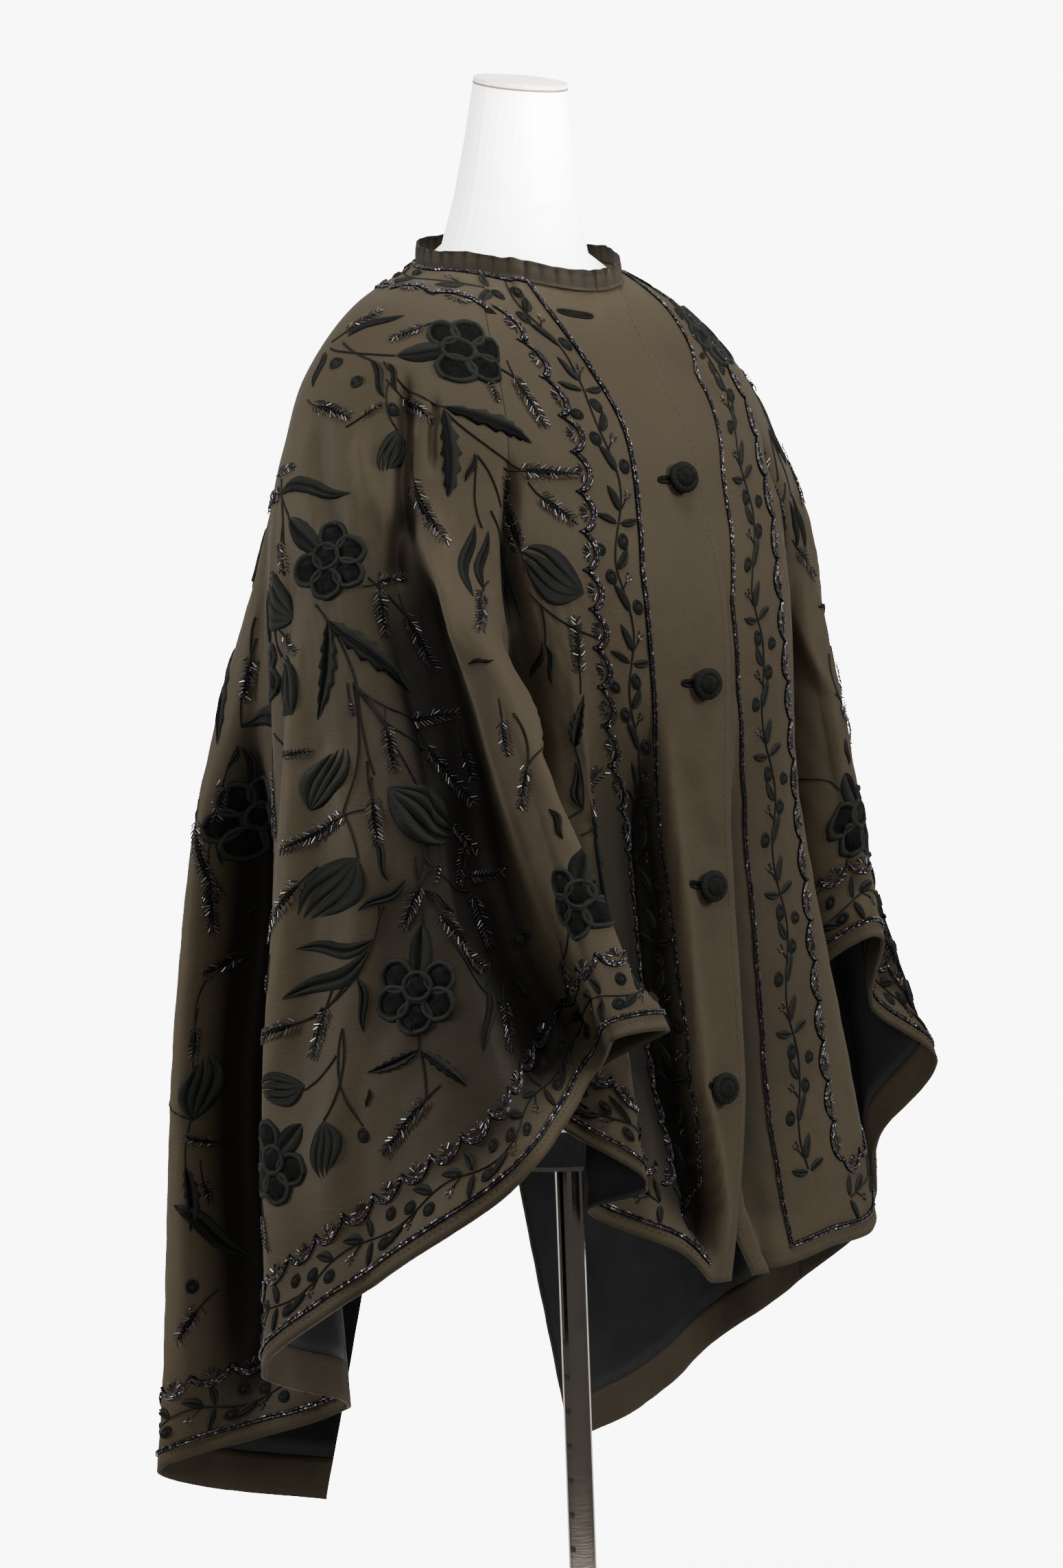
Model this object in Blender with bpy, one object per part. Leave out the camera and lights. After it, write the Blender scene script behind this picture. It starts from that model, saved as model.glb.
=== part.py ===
"""Dolman mantle on a limbless dress form with its stand.

Metres, +Z up. The wearer's front faces -Y, and the wearer's right is at -X.
The origin is on the floor, under the pole.

The mantle is cut as two fronts, two wing sleeves and two backs, with a pleated stand collar,
covered buttons, hem facings and the part of the lining that shows under the hem.
Every panel hangs from the yoke rings, which lie on the form's shoulders, through a middle line
to a folded hem line. FOLDS has one row for each line that runs from neck to hem.
"""

import math

import bpy
import numpy as np

# Cloth thicknesses and clearances
WALL = 0.002
LINING_WALL = 0.001
SEAM_GAP = 0.0003
FORM_CLEARANCE = 0.0012
LAP_RISE = 0.0028
FACING_DEPTH = 0.032
LINING_INTERVALS = 3

# The lengthwise stations of a panel: rings on the yoke, then equal steps to the facing
YOKE_STATIONS = (0.0, 0.6, 1.2, 1.8, 2.4, 3.0)
DROP_STEPS = 6
MID_SHARE = 0.42

# Where the fronts swing apart below the last button, and where the back vent starts
GAPE_START = 0.73
RIGHT_GAPE = 0.028
LEFT_GAPE = 0.058
TROUGH_DEPTH = 0.014
VENT_START = 0.27
VENT_POWER = 1.2

# Buttons lie on the centre front
BUTTON_HEIGHTS = (1.190, 1.038, 0.886, 0.734)
BUTTON_RADIUS = 0.0108
BUTTON_SEAT = 0.0006
BUTTON_SIDES = 20

# Collar
COLLAR_HEIGHT = 0.0125
COLLAR_WALL = 0.0014
COLLAR_PLEATS = 42
PLEAT_DEPTH = 0.0011
COLLAR_OPEN_DEG = 2.5
COLLAR_LEAN = 0.002

# Stand
BASE_RADIUS = 0.170
BASE_HEIGHT = 0.012
HUB_RADIUS = 0.024
HUB_HEIGHT = 0.030
POLE_RADIUS = 0.0108
FLANGE_RADIUS = 0.0275
FLANGE_HEIGHT = 0.007
FORM_BOTTOM = 0.706
BLOCK_HEIGHT = 0.038
BLOCK_RADIUS = 0.078
FORM_SIDES = 36
CAP_HEIGHT = 0.004

# The form fills the first yoke stations
FORM_STATIONS = 4

# Rings of the yoke, from the neck seam to the upper arm, on the outside of the cloth.
# half_width, front and back are the ring's reach from (0, centre_y)
RING_COLUMNS = ("half_width", "front", "back", "centre_y", "z_side", "z_front", "z_back")
YOKE_RINGS = {
    "neck_seam": (0.074, 0.078, 0.078, 0.020, 1.351, 1.331, 1.362),
    "yoke": (0.143, 0.123, 0.082, 0.030, 1.325, 1.276, 1.330),
    "shoulder": (0.198, 0.159, 0.098, 0.028, 1.274, 1.216, 1.280),
    "upper_arm": (0.226, 0.167, 0.117, 0.020, 1.222, 1.150, 1.212),
}

# Rings of the form above and below the yoke
NECK_RINGS = {
    "neck_top": (0.0355, 0.0355, 0.0355, 0.011, 1.486, 1.480, 1.492),
    "neck_upper": (0.0405, 0.0405, 0.0405, 0.015, 1.445, 1.439, 1.451),
    "neck_middle": (0.0465, 0.0465, 0.0465, 0.020, 1.402, 1.395, 1.408),
    "neck_base": (0.0560, 0.0560, 0.0550, 0.023, 1.364, 1.354, 1.370),
}
TORSO_RINGS = {
    "shoulder_turn": (0.186, 0.140, 0.088, 0.020, 1.232, 1.176, 1.236),
    "armhole": (0.172, 0.140, 0.097, 0.010, 1.180, 1.140, 1.185),
    "bust": (0.158, 0.137, 0.105, 0.000, 1.115, 1.095, 1.115),
    "ribs": (0.136, 0.113, 0.098, 0.000, 1.040, 1.030, 1.040),
    "waist": (0.118, 0.098, 0.090, 0.000, 0.970, 0.970, 0.970),
    "high_hip": (0.148, 0.108, 0.104, 0.000, 0.885, 0.885, 0.885),
    "hip": (0.164, 0.113, 0.110, 0.000, 0.790, 0.790, 0.790),
    "foot": (0.155, 0.106, 0.102, 0.000, FORM_BOTTOM, FORM_BOTTOM, FORM_BOTTOM),
}

# Where each line from neck to hem leaves the neck ring and the last yoke ring, from the centre front
CUT_LINES = {
    "front_edge": (-22, -7.2),
    "front_centre": (0, 0),
    "bead_line": (43, 13),
    "front_turn": (53, 25),
    "front_pleat": (59, 31),
    "armhole": (65, 40),
    "cuff_inside": (70, 46),
    "cuff_front": (75, 53),
    "cuff_side": (81, 59),
    "cuff_crease": (86, 64),
    "side_front": (96, 74),
    "side": (106, 86),
    "side_ridge": (117, 100),
    "back_valley": (130, 115),
    "back_ridge": (147, 133),
    "back_fall": (163, 154),
    "centre_back": (180, 180),
}
PIECES = {
    "front": ("front_edge", "armhole", 4),
    "sleeve": ("armhole", "back_valley", 4),
    "back": ("back_valley", "centre_back", 4),
}

# How each line hangs: its plan at mid height and at the hem, and the hem's height.
# out is the distance from the middle plane to the line's own side
FOLD_COLUMNS = ("mid_out", "mid_y", "hem_out", "hem_y", "hem_z")
FOLDS = {
    "right": {
        "front_edge": (-0.028, -0.155, -0.028, -0.165, 0.588),
        "front_centre": (0.000, -0.155, 0.000, -0.166, 0.590),
        "bead_line": (0.050, -0.151, 0.050, -0.159, 0.618),
        "front_turn": (0.095, -0.142, 0.112, -0.136, 0.657),
        "front_pleat": (0.105, -0.148, 0.098, -0.180, 0.672),
        "armhole": (0.140, -0.120, 0.160, -0.150, 0.735),
        "cuff_inside": (0.164, -0.138, 0.152, -0.202, 0.778),
        "cuff_front": (0.180, -0.165, 0.128, -0.236, 0.799),
        "cuff_side": (0.214, -0.168, 0.192, -0.240, 0.800),
        "cuff_crease": (0.216, -0.142, 0.174, -0.213, 0.781),
        "side_front": (0.258, -0.116, 0.260, -0.220, 0.712),
        "side": (0.284, -0.055, 0.312, -0.112, 0.630),
        "side_ridge": (0.285, 0.006, 0.328, -0.003, 0.558),
        "back_valley": (0.215, 0.068, 0.198, 0.050, 0.498),
        "back_ridge": (0.222, 0.165, 0.258, 0.198, 0.441),
        "back_fall": (0.125, 0.156, 0.200, 0.196, 0.418),
        "centre_back": (0.030, 0.130, 0.134, 0.145, 0.404),
    },
    "left": {
        "front_edge": (-0.030, -0.152, -0.025, -0.160, 0.586),
        "front_centre": (0.000, -0.1532, 0.012, -0.161, 0.586),
        "bead_line": (0.050, -0.1505, 0.070, -0.161, 0.588),
        "front_turn": (0.100, -0.146, 0.118, -0.160, 0.594),
        "front_pleat": (0.142, -0.124, 0.188, -0.148, 0.602),
        "armhole": (0.158, -0.076, 0.178, -0.074, 0.762),
        "cuff_inside": (0.170, -0.084, 0.188, -0.096, 0.796),
        "cuff_front": (0.184, -0.104, 0.214, -0.126, 0.820),
        "cuff_side": (0.205, -0.102, 0.240, -0.118, 0.815),
        "cuff_crease": (0.222, -0.080, 0.264, -0.082, 0.757),
        "side_front": (0.250, -0.060, 0.328, -0.090, 0.705),
        "side": (0.270, -0.022, 0.318, -0.036, 0.640),
        "side_ridge": (0.284, 0.018, 0.345, 0.002, 0.566),
        "back_valley": (0.272, 0.070, 0.330, 0.066, 0.512),
        "back_ridge": (0.232, 0.125, 0.290, 0.125, 0.462),
        "back_fall": (0.140, 0.142, 0.225, 0.140, 0.422),
        "centre_back": (0.030, 0.130, 0.136, 0.145, 0.402),
    },
}

# Colours as linear RGB, with roughness and metallic value
FINISHES = {
    "mantle_cloth": ((0.070, 0.054, 0.038), 0.72, 0.0),
    "facing_cloth": ((0.052, 0.041, 0.030), 0.72, 0.0),
    "lining_cloth": ((0.010, 0.011, 0.011), 0.55, 0.0),
    "button_silk": ((0.018, 0.020, 0.018), 0.55, 0.0),
    "form_white": ((0.80, 0.79, 0.77), 0.45, 0.0),
    "block_black": ((0.008, 0.008, 0.008), 0.7, 0.0),
    "cap_metal": ((0.42, 0.40, 0.37), 0.35, 0.6),
    "pole_steel": ((0.55, 0.54, 0.52), 0.16, 1.0),
}


def clear_scene():
    for old in list(bpy.data.objects):
        bpy.data.objects.remove(old, do_unlink=True)


def make_material(name):
    colour, roughness, metallic = FINISHES[name]
    material = bpy.data.materials.new(name)
    material.use_nodes = True
    shader = material.node_tree.nodes["Principled BSDF"]
    shader.inputs["Base Color"].default_value = (*colour, 1.0)
    shader.inputs["Roughness"].default_value = roughness
    shader.inputs["Metallic"].default_value = metallic
    return material


def add_object(name, points, faces, material):
    """One named object from points and faces, shaded smooth but for its sharp edges."""
    mesh = bpy.data.meshes.new(name)
    mesh.from_pydata([tuple(p) for p in points], [], faces)
    mesh.materials.append(material)
    mesh.shade_smooth()
    mesh.set_sharp_from_angle(angle=math.radians(40))
    made = bpy.data.objects.new(name, mesh)
    bpy.context.scene.collection.objects.link(made)
    return made


def smooth(knots, values, places):
    """A cubic curve through the rows of values at the knots, read at the given places."""
    knots = np.asarray(knots, float)
    values = np.asarray(values, float)
    places = np.asarray(places, float)
    slopes = np.gradient(values, knots, axis=0)
    k = np.clip(np.searchsorted(knots, places, side="right") - 1, 0, len(knots) - 2)
    step = (knots[k + 1] - knots[k])[:, None]
    w = (places - knots[k])[:, None] / step
    return (
        (1 + 2 * w) * (1 - w) ** 2 * values[k]
        + w * (1 - w) ** 2 * step * slopes[k]
        + w * w * (3 - 2 * w) * values[k + 1]
        + w * w * (w - 1) * step * slopes[k + 1]
    )


def ease(x):
    """0 to 1 with level ends."""
    x = np.clip(x, 0.0, 1.0)
    return x * x * (3 - 2 * x)


def ring_point(ring, theta, level=False):
    """Points at angles theta, from the centre front, on rings given by RING_COLUMNS.

    A level ring lies in one tilted plane. Any other is saddle shaped over the shoulders.
    """
    half_width, front, back, centre_y, z_side, z_front, z_back = np.moveaxis(ring, -1, 0)
    cos = np.cos(theta)
    reach = np.where(cos > 0, front, back)
    rise = np.where(cos > 0, z_front, z_back) - z_side
    x = half_width * np.sin(theta)
    y = centre_y - reach * cos
    z = z_side + rise * (np.abs(cos) if level else cos * cos)
    return np.stack([x, y, z], axis=-1)


def yoke_ring(station):
    rows = np.array(list(YOKE_RINGS.values()))
    return smooth(np.arange(len(rows)), rows, np.atleast_1d(station))


def unit(vectors):
    return vectors / np.linalg.norm(vectors, axis=-1, keepdims=True)


def yoke_point(station, theta):
    return ring_point(yoke_ring(np.full(np.shape(theta), station)), theta)


def yoke_normal(station, theta, step=0.001):
    """Upward unit normals of the yoke's surface."""
    along = yoke_point(station + step, theta) - yoke_point(station - step, theta)
    around = yoke_point(station, theta + step) - yoke_point(station, theta - step)
    normal = unit(np.cross(around, along))
    return normal * np.sign(normal[:, 2:])


def normals_of(grid):
    """Unit normals of a grid of points, by the cross product of its two directions."""
    return unit(np.cross(np.gradient(grid, axis=0), np.gradient(grid, axis=1)))


def column_places(side):
    """A place along the hem for each line, in metres, from chords at mid height and hem."""
    rows = np.array(list(FOLDS[side].values()))
    steps = (
        np.linalg.norm(np.diff(rows[:, 0:2], axis=0), axis=1)
        + np.linalg.norm(np.diff(rows[:, 2:5], axis=0), axis=1)
    ) / 2
    return np.concatenate([[0.0], np.cumsum(steps)])


def half_columns(side):
    """Places of one half's grid columns, and the first and last column of each piece."""
    names = list(CUT_LINES)
    knots = column_places(side)
    cuts = []
    spans = {}
    count = 0
    for piece, (first, last, parts) in PIECES.items():
        stretch = knots[names.index(first) : names.index(last) + 1]
        cuts += [np.linspace(a, b, parts, endpoint=False) for a, b in zip(stretch, stretch[1:])]
        spans[piece] = (count, count + parts * (len(stretch) - 1))
        count = spans[piece][1]
    return np.concatenate([*cuts, knots[-1:]]), spans


def half_surface(side):
    """The outer surface of one half as a grid of columns and rows, centre front to back, neck to hem."""
    places, spans = half_columns(side)
    knots = column_places(side)
    line = dict(zip(CUT_LINES, knots))
    neck_deg, yoke_deg = smooth(knots, list(CUT_LINES.values()), places).T
    mid_out, mid_y, hem_out, hem_y, hem_z = smooth(knots, list(FOLDS[side].values()), places).T

    last_station = YOKE_STATIONS[-1]
    rows = []
    for station in YOKE_STATIONS:
        turn = (1 - station / last_station) ** 3
        theta = np.radians(yoke_deg + (neck_deg - yoke_deg) * turn)
        rows.append(yoke_point(station, theta))

    # The cloth leaves the last ring along the yoke's own slope
    start = rows[-1]
    before = yoke_point(last_station - 0.1, np.radians(yoke_deg))
    hem = np.stack([hem_out, hem_y, hem_z], axis=-1)
    mid_z = start[:, 2] + (hem_z - start[:, 2]) * MID_SHARE
    mid = np.stack([mid_out, mid_y, mid_z], axis=-1)
    speed = np.linalg.norm(mid - start, axis=-1, keepdims=True) / MID_SHARE
    slope_start = unit(start - before) * speed
    slope_mid = hem - start
    slope_hem = (hem - mid) / (1 - MID_SHARE)
    length = np.linalg.norm(mid - start, axis=-1) + np.linalg.norm(hem - mid, axis=-1)
    facing_top = 1 - FACING_DEPTH / length
    drops = [facing_top * (i + 1) / DROP_STEPS for i in range(DROP_STEPS)]
    drops.append(np.ones(len(places)))
    for drop in drops:
        rows.append(hang(start, mid, hem, slope_start, slope_mid, slope_hem, drop))
    grid = np.stack(rows, axis=1)
    drop_table = np.zeros(grid.shape[:2])
    drop_table[:, len(YOKE_STATIONS) :] = np.stack(drops, axis=1)

    open_front(grid, places, line, drop_table, side)
    open_vent(grid, places, line, drop_table, hem_out[-1])
    return grid, spans


def hang(start, mid, hem, slope_start, slope_mid, slope_hem, drop):
    """The point at a share drop of the way down each column, on two joined cubic arcs."""
    upper = drop < MID_SHARE
    a = np.where(upper[:, None], start, mid)
    b = np.where(upper[:, None], mid, hem)
    slope_a = np.where(upper[:, None], slope_start, slope_mid)
    slope_b = np.where(upper[:, None], slope_mid, slope_hem)
    span = np.where(upper, MID_SHARE, 1 - MID_SHARE)
    w = (np.where(upper, drop, drop - MID_SHARE) / span)[:, None]
    span = span[:, None]
    return (
        (1 + 2 * w) * (1 - w) ** 2 * a
        + w * (1 - w) ** 2 * span * slope_a
        + w * w * (3 - 2 * w) * b
        + w * w * (w - 1) * span * slope_b
    )


def open_front(grid, places, line, drop, side):
    """The fronts swing apart below the last button, and the right one laps over the left."""
    edge, centre, bead = line["front_edge"], line["front_centre"], line["bead_line"]
    near_edge = ease((bead - places) / (bead - edge))[:, None]
    below = np.clip((drop - GAPE_START) / (1 - GAPE_START), 0, 1) ** 1.4
    gape = RIGHT_GAPE if side == "right" else LEFT_GAPE
    grid[:, :, 0] += gape * near_edge * below
    if side == "right":
        near_lap = ease((line["front_turn"] - places) / (bead - centre))[:, None, None]
        grid += normals_of(grid) * outward(grid) * LAP_RISE * near_lap
    else:
        trough = np.exp(-(((places - (centre + bead) / 2) / 0.018) ** 2))[:, None]
        grid[:, :, 1] += TROUGH_DEPTH * trough * below


def open_vent(grid, places, line, drop, hem_out):
    """The two backs meet on the centre line down to the vent, and part below it."""
    fall, centre = line["back_fall"], line["centre_back"]
    near_centre = ease((places - fall) / (centre - fall))[:, None]
    share = np.clip((drop - VENT_START) / (1 - VENT_START), 0, 1)
    wanted = hem_out * share**VENT_POWER
    grid[:, :, 0] += near_centre * (wanted - grid[-1, :, 0])


def outward(grid):
    """1 or -1, the sign that turns a grid's normals away from the middle of the body."""
    middle = np.array([0.0, 0.0, grid[:, :, 2].mean()])
    facing = np.sum(normals_of(grid) * (grid - middle) * (1, 1, 0))
    return 1.0 if facing > 0 else -1.0


def shift_edge(edge, toward, distance):
    """Moves an edge line along the cloth to the next line, so far that its own gap is distance."""
    way = unit(toward - edge)
    slant = np.linalg.norm(np.cross(way, unit(np.gradient(edge, axis=0))), axis=-1, keepdims=True)
    return edge + way * distance / np.maximum(slant, 0.3)


def part_seams(grid, piece):
    """Pulls the seam edges back within the cloth, so that neighbours are a seam gap apart."""
    if piece != "front":
        grid[0] = shift_edge(grid[0], grid[1], SEAM_GAP / 2)
    grid[-1] = shift_edge(grid[-1], grid[-2], SEAM_GAP / 2)


def wall_faces(columns, rows):
    """Faces of a closed wall: the outer grid, the inner grid and the rim between them."""
    inner = columns * rows

    def at(i, j):
        return i * rows + j

    faces = []
    for i in range(columns - 1):
        for j in range(rows - 1):
            a, b, c, d = at(i, j), at(i + 1, j), at(i + 1, j + 1), at(i, j + 1)
            for p, q, r in ((a, b, c), (a, c, d)):
                faces.append((p, q, r))
                faces.append((inner + r, inner + q, inner + p))
    loop = [at(i, 0) for i in range(columns)]
    loop += [at(columns - 1, j) for j in range(1, rows)]
    loop += [at(i, rows - 1) for i in range(columns - 2, -1, -1)]
    loop += [at(0, j) for j in range(rows - 2, 0, -1)]
    # Both sides of a seam split their rims alike: from the outer point before to the inner point after
    for a, b in zip(loop, loop[1:] + loop[:1]):
        if a < b:
            faces += [(b, a, inner + b), (a, inner + a, inner + b)]
        else:
            faces += [(b, a, inner + a), (b, inner + a, inner + b)]
    return faces


def wall_object(name, outer, inner, material):
    """A closed cloth wall between two grids of the same size, faces out."""
    columns, rows = outer.shape[:2]
    faces = wall_faces(columns, rows)
    middle = outer[columns // 2, rows // 2] - inner[columns // 2, rows // 2]
    normal = normals_of(outer)[columns // 2, rows // 2]
    if np.dot(middle, normal) < 0:
        faces = [face[::-1] for face in faces]
    points = np.concatenate([outer.reshape(-1, 3), inner.reshape(-1, 3)])
    return add_object(name, points, faces, material)


def make_panels(finish):
    """Fronts, sleeves and backs, with facings and lining inside the sleeves and backs."""
    surfaces = {}
    for side, sign in (("right", -1.0), ("left", 1.0)):
        half, spans = half_surface(side)
        half[:, :, 0] *= sign
        half_normal = normals_of(half)
        half_normal *= outward(half)
        for piece, (first, last) in spans.items():
            grid = half[first : last + 1].copy()
            normal = half_normal[first : last + 1]
            part_seams(grid, piece)
            surfaces[piece, side] = (grid, normal)
            wall_object(f"{piece}_{side}", grid, grid - WALL * normal, finish["mantle_cloth"])
            if piece != "front":
                make_inside(piece, side, grid, normal, finish)
    return surfaces


def make_inside(piece, side, grid, normal, finish):
    """The hem facing, and above it the stretch of lining that shows under the hem."""
    outer = grid - (WALL + SEAM_GAP) * normal
    inner = outer - LINING_WALL * normal
    facing = [layer[:, -2:].copy() for layer in (outer, inner)]
    lining = [layer[:, -2 - LINING_INTERVALS : -1].copy() for layer in (outer, inner)]
    for low, high in zip(facing, lining):
        low[:, 0] = shift_edge(low[:, 0], low[:, 1], SEAM_GAP)
        high[:, -1] = shift_edge(high[:, -1], high[:, -2], SEAM_GAP)
    wall_object(f"facing_{piece}_{side}", *facing, finish["facing_cloth"])
    wall_object(f"lining_{piece}_{side}", *lining, finish["lining_cloth"])


def make_collar(finish):
    """A pleated band that stands on the neck seam and over the lapped fronts, open at the front."""
    steps = COLLAR_PLEATS * 3
    degrees = np.linspace(COLLAR_OPEN_DEG, 360 - COLLAR_OPEN_DEG, steps + 1)
    theta = np.radians(degrees)
    lap = np.maximum(ease((36 - degrees) / 12), ease((degrees - 300) / 14))
    foot = yoke_point(0.0, theta) + yoke_normal(0.0, theta) * (LAP_RISE * 1.1 * lap)[:, None]
    out = np.stack([np.sin(theta), -np.cos(theta), np.zeros(steps + 1)], axis=-1)
    pleat = np.array([0.0, 1.0, 0.55])[np.arange(steps + 1) % 3] * PLEAT_DEPTH
    rows = []
    for share in (0.0, 1.0):
        point = foot + out * (pleat * (0.4 + 0.6 * share) - COLLAR_LEAN * share)[:, None]
        point[:, 2] += SEAM_GAP + COLLAR_HEIGHT * share
        rows.append(point)
    inner = np.stack(rows, axis=1)
    outer = inner + out[:, None, :] * COLLAR_WALL
    wall_object("collar", outer, inner, finish["mantle_cloth"])


def turned(profile, sides):
    """Points and faces of a solid turned about Z from (radius, height) pairs, bottom to top."""
    angles = np.linspace(0, 2 * math.pi, sides, endpoint=False)
    points = [(r * math.cos(a), r * math.sin(a), z) for r, z in profile for a in angles]
    faces = [tuple(range(sides - 1, -1, -1))]
    for k in range(len(profile) - 1):
        for i in range(sides):
            j = (i + 1) % sides
            faces.append((k * sides + i, k * sides + j, (k + 1) * sides + j, (k + 1) * sides + i))
    top = (len(profile) - 1) * sides
    faces.append(tuple(range(top, top + sides)))
    return np.array(points), faces


def make_buttons(surfaces, finish):
    """Covered buttons with a raised middle, seated on the right front along the centre front."""
    grid, normal = surfaces["front", "right"]
    column = PIECES["front"][2]
    line, out = grid[column], normal[column]
    r = BUTTON_RADIUS
    profile = (
        (0.80 * r, 0.0),
        (0.98 * r, 0.0012),
        (1.00 * r, 0.0028),
        (0.86 * r, 0.0046),
        (0.62 * r, 0.0050),
        (0.52 * r, 0.0062),
        (0.20 * r, 0.0070),
    )
    shape, faces = turned(profile, BUTTON_SIDES)
    for number, height in enumerate(BUTTON_HEIGHTS, 1):
        seat = smooth(-line[:, 2], line, [-height])[0]
        axis = unit(smooth(-line[:, 2], out, [-height]))[0]
        across = unit(np.cross((0, 0, 1), axis))
        up = np.cross(axis, across)
        frame = np.stack([across, up, axis])
        points = seat + axis * BUTTON_SEAT + shape @ frame
        add_object(f"button_{number}", points, faces, finish["button_silk"])


def make_form(finish):
    """A smooth torso with a tapered neck. Its shoulders carry the cloth, a clearance away."""
    theta = np.linspace(0, 2 * math.pi, FORM_SIDES, endpoint=False)
    neck = list(NECK_RINGS.values())
    torso = list(TORSO_RINGS.values())
    places = np.linspace(0, len(torso) - 1, 2 * len(torso) - 1)
    rings = [ring_point(np.tile(row, (FORM_SIDES, 1)), theta, level=True) for row in neck]
    for station in YOKE_STATIONS[:FORM_STATIONS]:
        inset = (WALL + FORM_CLEARANCE) * yoke_normal(station, theta)
        rings.append(yoke_point(station, theta) - inset)
    for row in smooth(np.arange(len(torso)), torso, places):
        rings.append(ring_point(np.tile(row, (FORM_SIDES, 1)), theta))
    points = np.concatenate(rings)
    faces = [tuple(range(FORM_SIDES))]
    for k in range(len(rings) - 1):
        for i in range(FORM_SIDES):
            j = (i + 1) % FORM_SIDES
            a, b = k * FORM_SIDES, (k + 1) * FORM_SIDES
            faces.append((a + j, a + i, b + i, b + j))
    foot = (len(rings) - 1) * FORM_SIDES
    faces.append(tuple(range(foot + FORM_SIDES - 1, foot - 1, -1)))
    add_object("form_torso", points, faces, finish["form_white"])

    top = rings[0]
    lift = unit(np.cross(top[FORM_SIDES // 4] - top[0], top[FORM_SIDES // 2] - top[0]))
    lift *= np.sign(lift[2])
    cap = np.concatenate([top + lift * SEAM_GAP, top + lift * (SEAM_GAP + CAP_HEIGHT)])
    n = FORM_SIDES
    sides = [(i, n + i, n + (i + 1) % n, (i + 1) % n) for i in range(n)]
    cap_faces = [tuple(range(n - 1, -1, -1)), tuple(range(n, 2 * n)), *[s[::-1] for s in sides]]
    add_object("neck_cap", cap, cap_faces, finish["cap_metal"])


def make_stand(finish):
    """A round base with a hub, a plain pole, and the flange and black block under the form."""
    hub_top = BASE_HEIGHT + HUB_HEIGHT
    base = (
        (BASE_RADIUS, 0.0),
        (BASE_RADIUS, BASE_HEIGHT * 0.7),
        (BASE_RADIUS - 0.004, BASE_HEIGHT),
        (HUB_RADIUS, BASE_HEIGHT),
        (HUB_RADIUS, hub_top - 0.003),
        (HUB_RADIUS - 0.003, hub_top),
    )
    block_top = FORM_BOTTOM - SEAM_GAP
    block_low = block_top - BLOCK_HEIGHT
    block = (
        (BLOCK_RADIUS - 0.004, block_low),
        (BLOCK_RADIUS, block_low + 0.004),
        (BLOCK_RADIUS, block_top),
    )
    flange_top = block_low - SEAM_GAP
    flange_low = flange_top - FLANGE_HEIGHT
    flange = (
        (FLANGE_RADIUS - 0.002, flange_low),
        (FLANGE_RADIUS, flange_low + 0.002),
        (FLANGE_RADIUS, flange_top),
    )
    pole = ((POLE_RADIUS, hub_top + SEAM_GAP), (POLE_RADIUS, flange_low - SEAM_GAP))
    for name, profile, sides, metal in (
        ("stand_base", base, 40, "pole_steel"),
        ("stand_pole", pole, 20, "pole_steel"),
        ("stand_flange", flange, 28, "pole_steel"),
        ("form_block", block, 32, "block_black"),
    ):
        add_object(name, *turned(profile, sides), finish[metal])


def main():
    clear_scene()
    finish = {name: make_material(name) for name in FINISHES}
    surfaces = make_panels(finish)
    make_collar(finish)
    make_buttons(surfaces, finish)
    make_form(finish)
    make_stand(finish)


main()
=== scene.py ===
"""Looks of a dolman mantle on its dress form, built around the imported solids.

Metres, +Z up. The wearer's front faces -Y and the wearer's right is at -X.
The cloth is one fine grid for each half: columns run from the front edge to the centre back, and rows
from the neck seam to the hem. Panels, lining, embroidery and beads are all read from that grid.
"""

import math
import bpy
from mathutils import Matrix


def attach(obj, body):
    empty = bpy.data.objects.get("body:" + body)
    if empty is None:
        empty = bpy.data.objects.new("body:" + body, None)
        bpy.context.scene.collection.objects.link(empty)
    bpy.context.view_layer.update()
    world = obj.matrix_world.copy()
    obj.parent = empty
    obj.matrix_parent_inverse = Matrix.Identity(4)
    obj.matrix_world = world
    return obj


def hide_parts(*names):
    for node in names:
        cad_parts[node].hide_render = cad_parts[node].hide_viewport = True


bl_info = {
    "name": "Dolman mantle on a dress form",
    "version": (1, 0, 0),
    "blender": (4, 5, 0),
    "location": "3D View > Sidebar > Mantle",
    "description": "Makes the cloth, embroidery, beads, buttons and stand of a dolman mantle",
    "category": "Object",
}

from functools import lru_cache

import bpy
import numpy as np
from mathutils.bvhtree import BVHTree
from bpy.props import FloatProperty, FloatVectorProperty, IntProperty, PointerProperty
from mathutils import Matrix

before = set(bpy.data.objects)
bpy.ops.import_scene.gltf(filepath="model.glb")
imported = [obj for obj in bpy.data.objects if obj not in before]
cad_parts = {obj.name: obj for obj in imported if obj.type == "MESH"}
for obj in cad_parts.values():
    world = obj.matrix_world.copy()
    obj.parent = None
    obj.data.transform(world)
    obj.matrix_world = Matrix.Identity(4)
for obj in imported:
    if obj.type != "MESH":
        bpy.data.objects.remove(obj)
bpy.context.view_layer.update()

# The photograph's camera
PHOTO_SIZE = (1550, 2287)
PHOTO_FOCAL = 8636.0
EYE = np.array((-3.182, -3.182, 1.420))
EYE_TURN = math.radians(45) - 0.0040
EYE_PITCH = -0.1028
EYE_ROLL = -0.0361
# Cloth within so many pixels is under a photo pixel, and each pixel away counts as so many metres deeper
ANCHOR_PIXELS = 10
ANCHOR_COST = 0.002
ANCHOR_MISS = 100

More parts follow.
